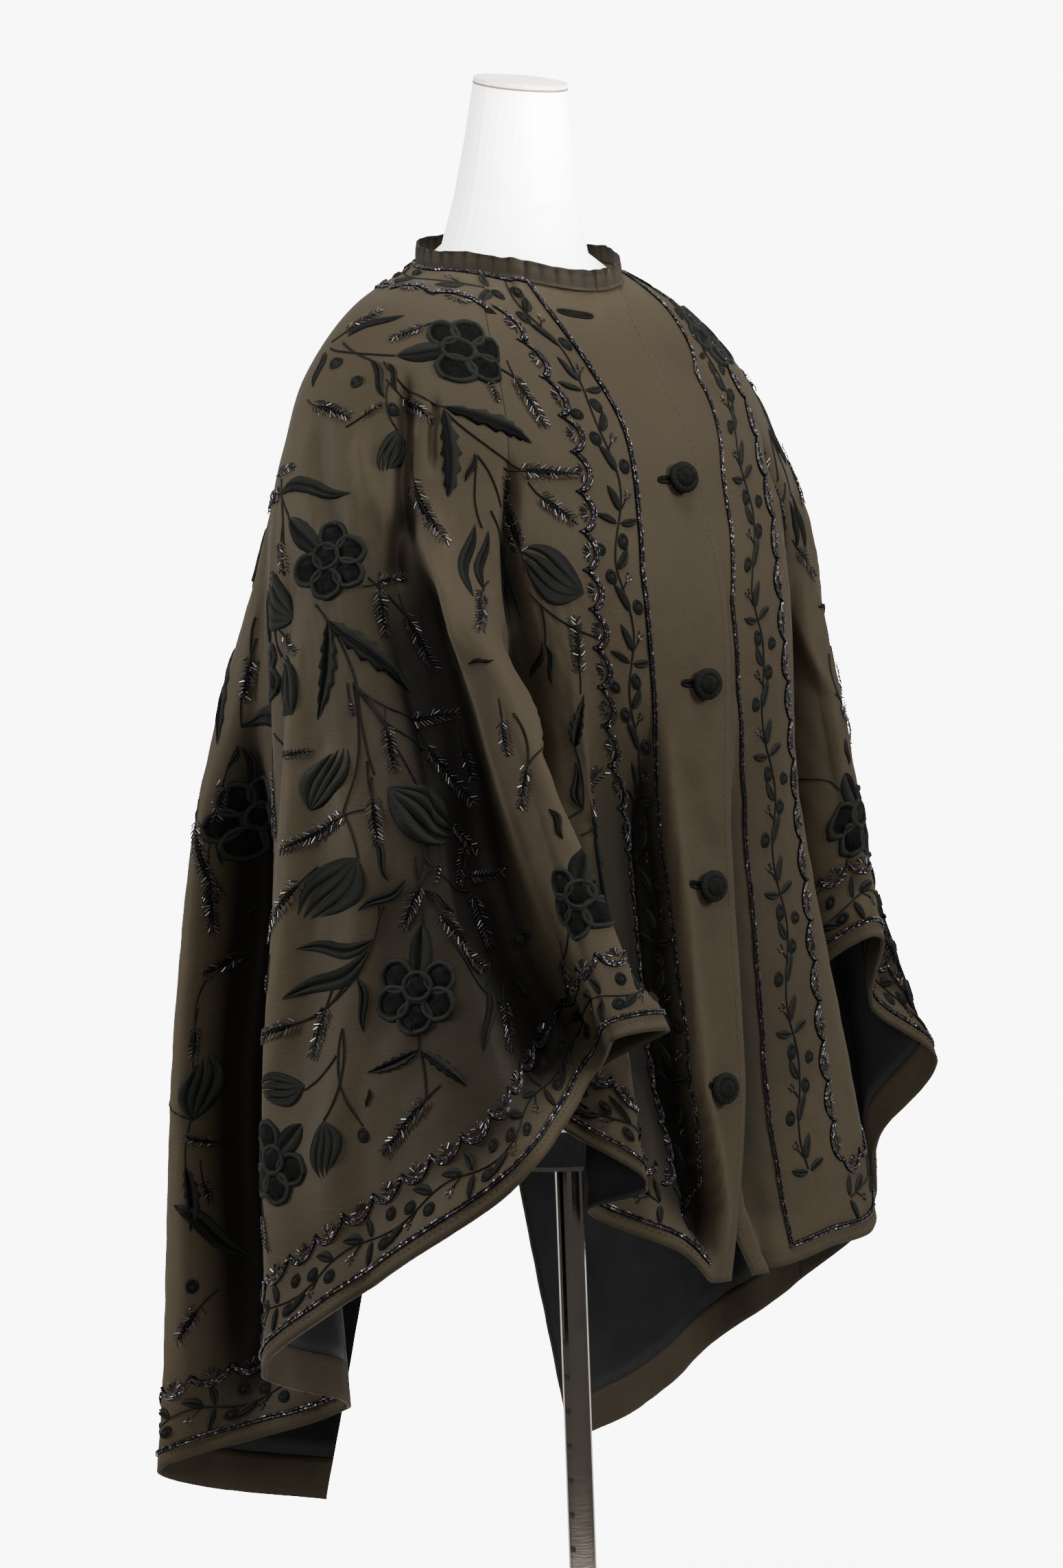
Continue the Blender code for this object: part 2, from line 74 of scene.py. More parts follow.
# The studio: backdrop, fill light, the gleam that mirrors see from behind and where it starts, and where the
# floor fades. Softboxes have a name, place to the left of the middle, towards the camera and above the
# middle, power and size
BACKDROP_WHITE = (1.0, 0.985, 0.99)
BACKDROP_STRENGTH = 9.0
FILL_STRENGTH = 0.10
GLEAM_STRENGTH = 1.2
GLEAM_EDGE = 0.5
FLOOR_NEAR = 0.7
FLOOR_FAR = 1.5
SOFTBOXES = (
    ("right_softbox", -2.9, 0.9, 1.3, 290.0, 1.2),
    ("front_softbox", 0.2, 3.0, 1.4, 130.0, 1.0),
    ("left_softbox", 2.9, 0.3, 0.8, 250.0, 0.8),
    ("top_softbox", -0.3, 0.5, 2.4, 160.0, 1.2),
)
# Height above the middle that the softboxes point at
SOFTBOX_AIM = 0.1
# The neck's own narrow light: power, spread, place to the right of the middle, towards the camera and above
# the middle, the height that it points at, and its size
NECK_LIGHT = 1.6
NECK_LIGHT_DEG = 9.0
NECK_LIGHT_PLACE = (1.0, 1.2, 0.75)
NECK_LIGHT_AIM = 0.46
NECK_LIGHT_SIZE = 0.2

# How the cloth hangs, as in the part's source
WALL = 0.002
LINING_WALL = 0.001
SEAM_GAP = 0.0003
LAP_RISE = 0.0028
FACING_DEPTH = 0.032
FACING_ROWS = 7
FACING_GAP = 0.0006
LINING_SHARE = 0.5
LINING_ROWS = 30
LAST_STATION = 3.0
MID_SHARE = 0.42
GAPE_START = 0.73
GAPE_POWER = 1.4
RIGHT_GAPE = 0.028
LEFT_GAPE = 0.058
TROUGH_DEPTH = 0.014
TROUGH_WIDTH = 0.018
VENT_START = 0.27
VENT_POWER = 1.2

# The collar: half its opening, columns for each pleat, rows, lean and wall, the depth of its pleats, the roll
# of its face, the part tucked in below the front, and the unevenness of its top
COLLAR_OPEN_DEG = 0.25
COLLAR_COLUMNS = 9
COLLAR_ROWS = 10
COLLAR_LEAN = 0.002
COLLAR_WALL = 0.0014
COLLAR_PLEAT = 0.0022
COLLAR_ROLL = 0.0006
COLLAR_TUCK = 0.010
COLLAR_WAVE = 0.0007

# Inner layers are moved in from their cover: rounds, columns to the neighbours whose mean is taken, reach of
# the search, the least share of the way to the cover that is upright, and the share of the gap that is too
# near
KEEP_ROUNDS = 24
KEEP_SPREAD = 2
KEEP_REACH = 0.008
KEEP_UPRIGHT = 0.5
KEEP_NEAR = 0.86

# Buttons: heights of their middles, gap to the cloth, tilt to the wearer's right, lift by the tilt as a share
# of the radius, and ring as a share of the radius with its height in millimetres
BUTTON_HEIGHTS = (1.190, 1.038, 0.886, 0.734)
BUTTON_SEAT = 0.0006
BUTTON_FLOP = 0.30
BUTTON_RAISE = 0.8
BUTTON_TOP = 0.0070
BUTTON_PROFILE = (
    (0.10, 7.0), (0.22, 6.95), (0.36, 6.6), (0.46, 6.2), (0.52, 5.5), (0.58, 4.9), (0.66, 4.9), (0.74, 4.9),
    (0.82, 4.7), (0.90, 4.2), (0.96, 3.6), (1.0, 2.8), (0.99, 1.7), (0.94, 0.9), (0.80, 0.0),
)
# Start and end of a buttonhole from the middle line, and height, start and end of the one at the neck
BUTTONHOLE = (0.004, 0.0215)
NECK_HOLE = (1.311, 0.016, 0.046)

# A painted shadow band at the seam under the neck cap, and the holes in the pole, painted black as their
# inner shade
CAP_CENTRE = (0.0, 0.01065, 0.0)
CAP_RADII = (0.0350, 0.0360)
CAP_SEAM = (1.4837, 1.4851)
CAP_TILT = 0.166
CAP_SHADOW_BROWN = (0.10, 0.055, 0.04)
CAP_CREAM = (0.52, 0.50, 0.47)
FELT_BLACK = (0.002, 0.002, 0.002)
HOLE_SHADE_BLACK = (0.004, 0.004, 0.004)
POLE_WARMTH = (0.82, 0.73, 0.63)
POLE_RADIUS = 0.0108
POLE_HOLES = 17
POLE_HOLE_TOP = 0.523
POLE_HOLE_STEP = 0.027
POLE_HOLE_RADIUS = 0.0031
POLE_HOLE_SINK = 0.0003
POLE_HOLE_RISE = 0.0004

# half_width, front, back, centre_y, z_side, z_front, z_back of the yoke's rings, neck to upper arm
YOKE_RINGS = np.array(
    (
        (0.074, 0.078, 0.078, 0.020, 1.351, 1.331, 1.362),
        (0.143, 0.123, 0.082, 0.030, 1.325, 1.276, 1.330),
        (0.198, 0.159, 0.098, 0.028, 1.274, 1.216, 1.280),
        (0.226, 0.167, 0.117, 0.020, 1.222, 1.150, 1.212),
    )
)

# Where each line from neck to hem leaves the neck ring and the last yoke ring, in degrees
CUT_LINES = {
    "front_edge": (-22, -7.2),
    "front_centre": (0, 0),
    "bead_line": (43, 13),
    "front_turn": (53, 25),
    "front_pleat": (59, 31),
    "armhole": (65, 40),
    "cuff_inside": (70, 46),
    "cuff_front": (75, 53),
    "cuff_side": (81, 59),
    "cuff_crease": (86, 64),
    "side_front": (96, 74),
    "side": (106, 86),
    "side_ridge": (117, 100),
    "back_valley": (130, 115),
    "back_ridge": (147, 133),
    "back_fall": (163, 154),
    "centre_back": (180, 180),
}
CUT = {name: number for number, name in enumerate(CUT_LINES)}
PIECES = {
    "front": ("front_edge", "armhole"),
    "sleeve": ("armhole", "back_valley"),
    "back": ("back_valley", "centre_back"),
}

# mid_out, mid_y, hem_out, hem_y, hem_z of each line, in the order of CUT_LINES
FOLDS = {
    "right": (
        (-0.028, -0.155, -0.028, -0.165, 0.588),
        (0.000, -0.155, 0.000, -0.166, 0.590),
        (0.050, -0.151, 0.050, -0.159, 0.618),
        (0.095, -0.142, 0.112, -0.136, 0.657),
        (0.105, -0.148, 0.098, -0.180, 0.672),
        (0.140, -0.120, 0.160, -0.150, 0.735),
        (0.164, -0.138, 0.152, -0.202, 0.778),
        (0.180, -0.165, 0.128, -0.236, 0.799),
        (0.214, -0.168, 0.192, -0.240, 0.800),
        (0.216, -0.142, 0.174, -0.213, 0.781),
        (0.258, -0.116, 0.260, -0.220, 0.712),
        (0.284, -0.055, 0.312, -0.112, 0.630),
        (0.285, 0.006, 0.328, -0.003, 0.558),
        (0.215, 0.068, 0.198, 0.050, 0.498),
        (0.222, 0.165, 0.258, 0.198, 0.441),
        (0.125, 0.156, 0.200, 0.196, 0.418),
        (0.030, 0.130, 0.134, 0.145, 0.404),
    ),
    "left": (
        (-0.030, -0.152, -0.025, -0.160, 0.586),
        (0.000, -0.1532, 0.012, -0.161, 0.586),
        (0.050, -0.1505, 0.070, -0.161, 0.588),
        (0.100, -0.146, 0.118, -0.160, 0.594),
        (0.142, -0.124, 0.188, -0.148, 0.602),
        (0.158, -0.076, 0.178, -0.074, 0.762),
        (0.170, -0.084, 0.188, -0.096, 0.796),
        (0.184, -0.104, 0.214, -0.126, 0.820),
        (0.205, -0.102, 0.240, -0.118, 0.815),
        (0.222, -0.080, 0.264, -0.082, 0.757),
        (0.250, -0.060, 0.328, -0.090, 0.705),
        (0.270, -0.022, 0.318, -0.036, 0.640),
        (0.284, 0.018, 0.345, 0.002, 0.566),
        (0.272, 0.070, 0.330, 0.066, 0.512),
        (0.232, 0.125, 0.290, 0.125, 0.462),
        (0.140, 0.142, 0.225, 0.140, 0.422),
        (0.030, 0.130, 0.136, 0.145, 0.402),
    ),
}

# The fine grid
COLUMN_STEP = 0.0052
YOKE_ROWS = 30
DROP_ROWS = 112

# Creases of the right half by photo pixels, and their like on the left half:
# from_x, from_y, to_x, to_y, width, depth. A negative depth is a ridge
PHOTO_CREASES = (
    (590, 560, 606, 790, 0.014, 0.0120),
    (634, 585, 628, 680, 0.010, 0.0060),
    (745, 690, 752, 900, 0.012, 0.0130),
    (455, 640, 500, 780, 0.020, 0.0050),
    (520, 640, 560, 760, 0.016, -0.0040),
    (586, 735, 571, 838, 0.010, 0.0080),
    (640, 760, 662, 960, 0.014, -0.0040),
    (560, 900, 640, 1180, 0.020, 0.0060),
    (470, 1120, 600, 1330, 0.022, -0.0050),
    (420, 820, 405, 1150, 0.016, 0.0050),
    (700, 1180, 690, 1420, 0.018, 0.0060),
    (845, 520, 800, 640, 0.014, 0.0030),
    (1060, 1100, 1085, 1380, 0.015, 0.0035),
    (1050, 800, 1075, 1000, 0.013, -0.0028),
    (1000, 1120, 1045, 1260, 0.012, 0.0028),
    (600, 1180, 520, 1560, 0.020, 0.0055),
    (500, 1500, 455, 1800, 0.016, -0.0045),
    (358, 1140, 350, 2040, 0.020, 0.0360),
    (308, 1150, 280, 1960, 0.014, -0.0080),
    (425, 1000, 388, 1900, 0.024, -0.0110),
)
# Sharp fold edges of the right half by photo pixels, top to bottom. The cloth dips beside an edge, on the
# side of the back (1) or of the front (-1): pixels, side, depth, width of the wall, reach of the way back
PHOTO_EDGES = (
    (
        ((604, 690), (640, 850), (682, 987), (720, 1110), (756, 1234), (800, 1370), (850, 1470)),
        1, 0.034, 0.013, 0.085,
    ),
    (((728, 880), (787, 1104), (843, 1240), (905, 1400)), -1, 0.030, 0.011, 0.030),
    (
        ((966, 1000), (992, 1280), (1012, 1480), (1024, 1600), (1046, 1700), (1056, 1770)),
        1, 0.052, 0.010, 0.050,
    ),
)
# A fold edge's own ridge as a share of its depth and its width, and the rows over which it fades in and out
EDGE_RIDGE = 0.10
EDGE_RIDGE_WIDTH = 0.009
EDGE_FADE_IN = 30
EDGE_FADE_OUT = 8
# How far a crease wanders as a share of its width, runs on past its ends as a share of its length, and fades
CREASE_WANDER = 0.15
CREASE_RUNOUT = 0.15
CREASE_FADE = 0.35
# Width of the front's free edge, and the share of the creases' depth that it keeps
FREE_EDGE_WIDTH = 0.02
FREE_EDGE_SHARE = 0.3
# Shares of the creases' and fold edges' depth that the left half gets
LEFT_CREASE = 0.7
LEFT_EDGE = 0.4
# Ripples of the cloth: height, share of the drop where they start and over which they grow, width and length
RIPPLES = (
    (0.0022, 0.02, 0.50, 0.085, 0.34),
    (0.0016, 0.55, 0.45, 0.040, 0.30),
    (0.0005, 0.00, 0.10, 0.022, 0.030),
)
RIPPLE_SEEDS = {"right": 11, "left": 47}
SEAM_GROOVE = 0.0003
SEAM_WIDTH = 0.0035
# Creases of both halves by cut line and share of the drop: from_cut, from_drop, to_cut, to_drop, width, depth
HIDDEN_CREASES = (
    (5.0, 0.14, 5.0, 1.00, 0.017, 0.0150),
    (13.3, 0.02, 13.4, 0.62, 0.016, 0.0050),
    (14.0, 0.10, 13.8, 0.95, 0.020, -0.0050),
    (14.6, 0.05, 14.5, 0.70, 0.014, 0.0045),
    (15.2, 0.25, 15.0, 0.98, 0.018, 0.0040),
    (15.6, 0.00, 15.5, 0.40, 0.012, -0.0035),
    (12.2, 0.08, 12.6, 0.45, 0.016, 0.0045),
    (11.4, 0.55, 12.1, 0.98, 0.018, 0.0040),
    (12.6, 0.60, 12.5, 1.00, 0.014, -0.0040),
    (9.6, 0.30, 10.6, 0.80, 0.018, 0.0040),
)

# Motifs of the right half by photo pixels, and their like on the left half:
# kind, base_x, base_y, tip_x, tip_y. A flower's base is its middle and its tip the end of its tube
PHOTO_MOTIFS = (
    ("flower", 674, 511, 579, 519),
    ("ear", 751, 552, 794, 622),
    ("ear", 715, 559, 727, 586),
    ("ear", 616, 477, 570, 496),
    ("split_leaf", 647, 593, 778, 648),
    ("split_leaf", 647, 596, 653, 727),
    ("ear", 761, 687, 839, 691),
    ("slim_leaf", 692, 661, 678, 704),
    ("ear", 760, 806, 738, 696),
    ("ear", 788, 724, 839, 762),
    ("bud", 579, 628, 560, 690),
    ("ear", 589, 584, 630, 615),
    ("slim_leaf", 507, 491, 592, 459),
    ("flower", 480, 815, 422, 756),
    ("slim_leaf", 407, 722, 515, 719),
    ("split_leaf", 478, 908, 462, 1054),
    ("split_leaf", 480, 906, 601, 1011),
    ("ear", 553, 850, 592, 840),
    ("ear", 553, 864, 562, 925),
    ("ear", 592, 897, 636, 980),
    ("ear", 603, 700, 652, 793),
    ("slim_leaf", 690, 870, 693, 763),
    ("slim_leaf", 706, 862, 712, 772),
    ("ear", 702, 864, 699, 919),
    ("slim_leaf", 682, 969, 722, 962),
    ("ear", 603, 1051, 669, 1040),
    ("ear", 564, 1062, 575, 1122),
    ("ear", 624, 1091, 694, 1172),
    ("ear", 511, 1028, 515, 1044),
    ("bud", 426, 1042, 411, 958),
    ("ear", 411, 793, 414, 837),
    ("ear", 416, 928, 431, 952),
    ("bud", 452, 1182, 500, 1086),
    ("bud", 566, 1148, 666, 1218),
    ("flower", 378, 1190, 420, 1130),
    ("ear", 675, 1090, 690, 1140),
    ("ear", 732, 1050, 740, 1100),
    ("bud", 522, 1252, 441, 1346),
    ("ear", 675, 1240, 668, 1290),
    ("ear", 439, 1286, 388, 1382),
    ("slim_leaf", 546, 1370, 429, 1385),
    ("slim_leaf", 537, 1388, 408, 1460),
    ("slim_leaf", 519, 1424, 531, 1508),
    ("slim_leaf", 591, 1283, 520, 1330),
    ("slim_leaf", 618, 1298, 663, 1331),
    ("ear", 687, 1304, 714, 1382),
    ("ear", 687, 1280, 735, 1272),
    ("flower", 609, 1445, 615, 1350),
    ("split_leaf", 610, 1532, 534, 1565),
    ("split_leaf", 612, 1532, 682, 1586),
    ("ear", 621, 1604, 559, 1682),
    ("slim_leaf", 709, 1436, 705, 1538),
    ("ear", 735, 1466, 744, 1532),
    ("ear", 432, 1493, 378, 1532),
    ("ear", 475, 1472, 456, 1541),
    ("bud", 444, 1583, 379, 1592),
    ("bud", 472, 1634, 474, 1722),
    ("berry", 529, 1656, 529, 1640),
    ("flower", 396, 1696, 440, 1640),
    ("berry", 520, 557, 520, 545),
    ("berry", 572, 597, 572, 585),
    ("flower", 841, 1310, 850, 1262),
    ("slim_leaf", 850, 1180, 838, 1110),
    ("ear", 868, 1200, 880, 1120),
    ("split_leaf", 838, 1090, 852, 1010),
    ("ear", 845, 980, 838, 900),
    ("bud", 851, 866, 752, 806),
    ("ear", 822, 1400, 838, 1460),
    ("ear", 400, 692, 430, 681),
    ("ear", 403, 722, 384, 746),
    ("bud", 425, 903, 384, 845),
    ("ear", 366, 960, 357, 1022),
    ("slim_leaf", 352, 1060, 412, 1075),
    ("slim_leaf", 346, 1088, 330, 1126),
    ("ear", 415, 1102, 452, 1096),
    ("ear", 543, 1165, 551, 1230),
    ("ear", 500, 1190, 409, 1240),
    ("ear", 661, 1206, 697, 1242),
    ("slim_leaf", 543, 1222, 567, 1287),
    ("ear", 612, 1296, 588, 1353),
    ("ear", 640, 1262, 636, 1287),
    ("ear", 303, 1279, 311, 1361),
    ("slim_leaf", 312, 1214, 326, 1263),
    ("ear", 326, 1140, 315, 1197),
    ("slim_leaf", 352, 1091, 378, 1160),
    ("ear", 348, 1394, 297, 1422),
    ("slim_leaf", 376, 1308, 360, 1338),
    ("ear", 640, 1330, 706, 1415),
    ("ear", 284, 1500, 281, 1546),
    ("berry", 290, 1604, 290, 1590),
    ("ear", 311, 1666, 268, 1659),
    ("split_leaf", 270, 1702, 277, 1799),
    ("ear", 290, 1908, 257, 1960),
    ("ear", 296, 1722, 306, 1756),
    ("berry", 279, 1877, 279, 1864),
    ("slim_leaf", 538, 1588, 534, 1616),
    ("ear", 390, 1424, 386, 1447),
    ("ear", 384, 1775, 390, 1825),
    ("ear", 507, 483, 557, 453),
    ("berry", 490, 530, 490, 516),
    ("slim_leaf", 474, 514, 455, 566),
    ("ear", 460, 592, 508, 608),
    ("ear", 530, 607, 556, 590),
    ("slim_leaf", 540, 525, 562, 582),
    ("slim_leaf", 566, 530, 580, 575),
    ("slim_leaf", 795, 940, 806, 1000),
    ("slim_leaf", 790, 935, 772, 990),
    ("ear", 768, 1120, 760, 1178),
    ("berry", 758, 1368, 758, 1354),
    ("slim_leaf", 745, 1430, 772, 1455),
    ("slim_leaf", 800, 1180, 822, 1225),
)
# Thin stalks by photo pixels: from_x, from_y, to_x, to_y and their bulge as a share of the length
PHOTO_STALKS = (
    (719, 534, 751, 552, 0.05),
    (647, 593, 560, 528, 0.08),
    (650, 600, 759, 685, -0.06),
    (696, 664, 730, 739, 0.06),
    (696, 664, 703, 770, -0.05),
    (579, 628, 566, 560, 0.10),
    (407, 722, 422, 758, 0.05),
    (405, 700, 414, 793, 0.06),
    (460, 882, 478, 908, 0.04),
    (480, 908, 520, 1000, 0.05),
    (515, 996, 603, 1051, -0.06),
    (515, 996, 627, 1092, -0.08),
    (515, 996, 564, 1062, 0.04),
    (515, 1000, 500, 1185, 0.05),
    (520, 1000, 545, 1130, -0.04),
    (525, 1005, 640, 1235, 0.05),
    (537, 842, 592, 897, 0.06),
    (500, 1185, 522, 1252, 0.05),
    (610, 1180, 610, 1290, 0.06),
    (606, 1250, 615, 1350, 0.03),
    (552, 1320, 519, 1424, 0.08),
    (546, 1370, 560, 1320, 0.04),
    (519, 1424, 432, 1493, 0.06),
    (500, 1440, 475, 1472, 0.02),
    (499, 1500, 472, 1634, 0.10),
    (499, 1500, 529, 1642, -0.14),
    (490, 1540, 444, 1590, 0.06),
    (610, 1510, 610, 1532, 0.0),
    (612, 1532, 621, 1604, 0.04),
    (618, 1250, 687, 1300, -0.06),
    (640, 1330, 735, 1466, -0.05),
    (715, 1402, 709, 1436, 0.04),
    (838, 1330, 822, 1400, 0.05),
    (846, 1290, 850, 1180, 0.04),
    (850, 1180, 838, 1090, -0.05),
    (478, 508, 577, 519, -0.06),
    (540, 525, 500, 500, 0.05),
    (411, 958, 400, 900, 0.05),
    (366, 960, 372, 900, 0.05),
    (352, 1060, 360, 990, 0.06),
    (415, 1102, 400, 1070, 0.05),
    (543, 1165, 535, 1110, 0.05),
    (612, 1296, 606, 1260, 0.05),
    (661, 1206, 640, 1180, 0.04),
    (326, 1140, 346, 1088, 0.05),
    (303, 1279, 312, 1214, 0.06),
    (284, 1500, 300, 1430, 0.08),
    (290, 1590, 284, 1500, 0.06),
    (270, 1702, 290, 1604, 0.06),
    (716, 745, 760, 900, 0.04),
    (772, 865, 879, 932, -0.05),
    (788, 880, 795, 940, 0.05),
    (748, 1040, 768, 1120, 0.10),
)
# Motifs of the backs on both halves: kind, base_cut, base_drop, tip_cut, tip_drop
BACK_MOTIFS = (
    ("flower", 14.1, 0.10, 14.0, 0.00),
    ("split_leaf", 14.2, 0.17, 13.7, 0.30),
    ("split_leaf", 14.3, 0.17, 14.7, 0.30),
    ("ear", 14.6, 0.08, 14.9, 0.14),
    ("bud", 15.2, 0.36, 15.1, 0.26),
    ("slim_leaf", 14.4, 0.34, 14.9, 0.42),
    ("ear", 13.8, 0.36, 13.6, 0.44),
    ("flower", 14.4, 0.54, 14.4, 0.45),
    ("split_leaf", 14.5, 0.61, 14.1, 0.72),
    ("split_leaf", 14.5, 0.61, 14.9, 0.72),
    ("ear", 15.2, 0.52, 15.5, 0.58),
    ("bud", 13.7, 0.66, 13.65, 0.595),
    ("ear", 14.5, 0.76, 14.3, 0.82),
    ("slim_leaf", 15.2, 0.66, 15.0, 0.78),
    ("slim_leaf", 13.8, 0.74, 13.5, 0.82),
    ("flower", 12.4, 0.24, 12.5, 0.15),
    ("split_leaf", 12.4, 0.32, 12.8, 0.44),
    ("ear", 12.2, 0.34, 12.0, 0.42),
    ("bud", 12.6, 0.62, 12.55, 0.565),
    ("ear", 12.7, 0.68, 12.9, 0.76),
    ("flower", 15.4, 0.12, 15.3, 0.04),
    ("ear", 15.5, 0.22, 15.6, 0.30),
)
BACK_STALKS = (
    (14.1, 0.12, 14.4, 0.34, 0.06),
    (14.4, 0.34, 15.2, 0.36, 0.10),
    (14.4, 0.34, 14.4, 0.48, -0.06),
    (14.4, 0.34, 13.8, 0.36, 0.10),
    (14.5, 0.56, 14.5, 0.76, 0.04),
    (14.5, 0.61, 15.2, 0.66, -0.10),
    (14.5, 0.61, 13.7, 0.66, 0.10),
    (12.4, 0.26, 12.6, 0.62, 0.05),
)

# One repeat of the border's vine, growing along x: kind, x, y from the middle, turn in degrees, length, width
VINE_REPEAT = 0.096
VINE = (
    ("leaf", 0.000, 0.0015, 72, 0.018, 0.0068),
    ("leaf", 0.000, -0.0015, -72, 0.018, 0.0068),
    ("leaf", 0.009, 0.0010, 24, 0.021, 0.0078),
    ("sprig", 0.011, -0.0010, -30, 0.017, 0.0),
    ("leaf", 0.036, 0.0005, 30, 0.023, 0.0082),
    ("berry", 0.040, -0.0085, 0, 0.0100, 0.0125),
    ("sprig", 0.052, -0.0010, -34, 0.015, 0.0),
    ("berry", 0.058, 0.0065, 0, 0.0100, 0.0125),
    ("leaf", 0.064, -0.0010, -26, 0.020, 0.0076),
    ("berry", 0.076, 0.0125, 0, 0.0105, 0.0105),
    ("berry", 0.084, -0.0060, 0, 0.0095, 0.0135),
)

# The fronts' bead lines by photo pixels, then the hem's and the neck's insets, the widths of the front and
# neck borders as shares of the border's width, where scallops start at the neck, the field's gap to the front
# border, and where the vine starts
BEAD_LINE = (
    (767, 404), (855, 525), (905, 609), (926, 687), (938, 832),
    (954, 1000), (980, 1280), (1010, 1592), (1022, 1730),
)
BEAD_LINE_LEFT = (
    (961, 427), (1013, 545), (1051, 687), (1065, 874), (1074, 1010),
    (1084, 1165), (1095, 1330), (1108, 1490), (1120, 1640), (1149, 1800),
)
HEM_INSET = 0.013
NECK_INSET = 0.003
FRONT_BORDER = {"right": 1.0, "left": 1.5}
NECK_BORDER = 0.9
NECK_SPREAD = 0.6
FIELD_MARGIN = {"right": -0.02, "left": 0.012}
VINE_START = 0.006
SCALLOP_REPEAT = 0.031
SCALLOP_DEPTH = 0.0120
VINE_WAVE = 0.0045
# Edges with a border, their inset, and whether the vine grows against x
BORDERS = (("front", 0.0, True), ("neck", NECK_INSET, False), ("hem", HEM_INSET, False))
# Seeds of the beads in the borders and in the field
BEAD_SEEDS = {"right": (21, 31), "left": (22, 32)}

# Stitched shapes. How far their edges sink into the cloth
STITCH_SINK = 0.0003
# Rings of a petal and of a berry from the middle out: share of the radius, height, tone. The tone paints
# light on the raised rims and knots and shade in the sunk rings
PETAL_RINGS = (
    (0.30, 0.75, 0.16),
    (0.56, 0.55, 0.12),
    (0.66, 0.15, 0.00),
    (0.76, 1.10, 0.80),
    (0.90, 1.15, 0.90),
    (1.00, -0.15, 0.25),
)
BERRY_RINGS = ((0.32, 0.9, 0.95), (0.52, 0.35, 0.15), (0.74, 1.0, 0.7), (1.0, -0.15, 0.3))
# Height and tone of their middle points, and how many sides they have
PETAL_MIDDLE = (0.8, 0.22)
BERRY_MIDDLE = (1.0, 1.0)
PETAL_SIDES = 26
BERRY_SIDES = 16
# Lips of a bud: bend, share of its length, width as a share of its length
BUD_LIPS = ((-0.19, 1.0, 0.17), (-0.06, 0.98, 0.15), (0.07, 0.93, 0.16), (0.23, 0.84, 0.19))
# Running stitches: inset from the hem, spacing, length, half the thickness
RUNNING_INSET = 0.0085
RUNNING_STEP = 0.0052
RUNNING_LENGTH = 0.0030
RUNNING_RADIUS = 0.00028


def length_property(name, description, default):
    return FloatProperty(name=name, description=description, default=default, unit="LENGTH")


def colour_property(name, description, default):
    return FloatVectorProperty(name=name, description=description, default=default, subtype="COLOR")


class MantleSizes(bpy.types.PropertyGroup):
    """Sizes that a user would change."""

    crease_depth: FloatProperty(
        name="Crease depth", description="Share of the creases' full depth", default=1.0, min=0.0, max=1.5
    )
    satin_height: length_property("Satin height", "Height of the padded stitches", 0.0019)
    bead_length: length_property("Bead length", "Length of a cut bead", 0.0024)
    bead_radius: length_property("Bead radius", "Half the thickness of a cut bead", 0.00048)
    border_width: length_property("Border width", "From the bead line to the scallops", 0.050)
    stalk_width: length_property("Stalk width", "Width of a line of stem stitch", 0.0017)
    flower_radius: length_property("Flower radius", "Reach of a flower's petals", 0.031)
    button_radius: length_property("Button radius", "Half the width of a covered button", 0.0120)
    collar_height: length_property("Collar height", "Height of the pleated collar", 0.0130)
    collar_pleats: IntProperty(name="Collar pleats", description="Pleats round the neck", default=42)


class MantleColours(bpy.types.PropertyGroup):
    """Colours that a user would change."""

    silk: colour_property("Silk", "Ribbed silk of the mantle", (0.0185, 0.0142, 0.0082))
    facing: colour_property("Facing", "Hem facing", (0.0150, 0.0115, 0.0068))
    lining: colour_property("Lining", "Sateen lining", (0.0024, 0.0026, 0.0025))
    thread_dark: colour_property("Thread, dark", "Deep side of the stitch", (0.0004, 0.0005, 0.0005))
    thread_light: colour_property("Thread, light", "Lit side of the stitch", (0.0075, 0.0078, 0.0066))
    jet: colour_property("Jet", "Most of the cut beads", (0.006, 0.005, 0.006))
    bronze: colour_property("Bronze", "The brighter cut beads", (0.030, 0.022, 0.017))
    form_white: colour_property("Form", "White of the dress form", (0.88, 0.87, 0.85))
    steel: colour_property("Steel", "Plated pole and base", (0.62, 0.61, 0.59))


def sizes():
    return bpy.context.scene.mantle_sizes


def colours():
    return bpy.context.scene.mantle_colours


# Small helpers


def unit(vectors):
    return vectors / np.maximum(np.linalg.norm(vectors, axis=-1, keepdims=True), 1e-12)


def ease(x):
    """0 to 1 with level ends."""
    x = np.clip(x, 0.0, 1.0)
    return x * x * (3 - 2 * x)


def smooth(knots, values, places):
    """A cubic curve through the rows of values at the knots, read at the given places."""
    knots = np.asarray(knots, float)
    values = np.asarray(values, float)
    slopes = np.gradient(values, knots, axis=0)
    k = np.clip(np.searchsorted(knots, places, side="right") - 1, 0, len(knots) - 2)
    step = (knots[k + 1] - knots[k])[:, None]
    w = (places - knots[k])[:, None] / step
    return (
        (1 + 2 * w) * (1 - w) ** 2 * values[k]
        + w * (1 - w) ** 2 * step * slopes[k]
        + w * w * (3 - 2 * w) * values[k + 1]
        + w * w * (w - 1) * step * slopes[k + 1]
    )


def soft_noise(u, v, seed, waves=9):
    """From -1 to 1: a sum of sine waves whose directions, lengths and phases are seeded."""
    rng = np.random.default_rng(seed)
    total = np.zeros(np.broadcast(u, v).shape)
    for angle, phase, pitch in rng.uniform((0, 0, 0.55), (math.pi, math.tau, 1.5), (waves, 3)):
        total += np.sin(math.tau * pitch * (u * math.cos(angle) + v * math.sin(angle)) + phase)
    return total / (waves * 0.62)


def chord_sums(points, axis):
    """Distance along a grid's columns or rows, from its first point."""
    steps = np.linalg.norm(np.diff(points, axis=axis), axis=-1)
    pad = [(0, 0), (0, 0)]
    pad[axis] = (1, 0)
    return np.pad(np.cumsum(steps, axis=axis), pad)


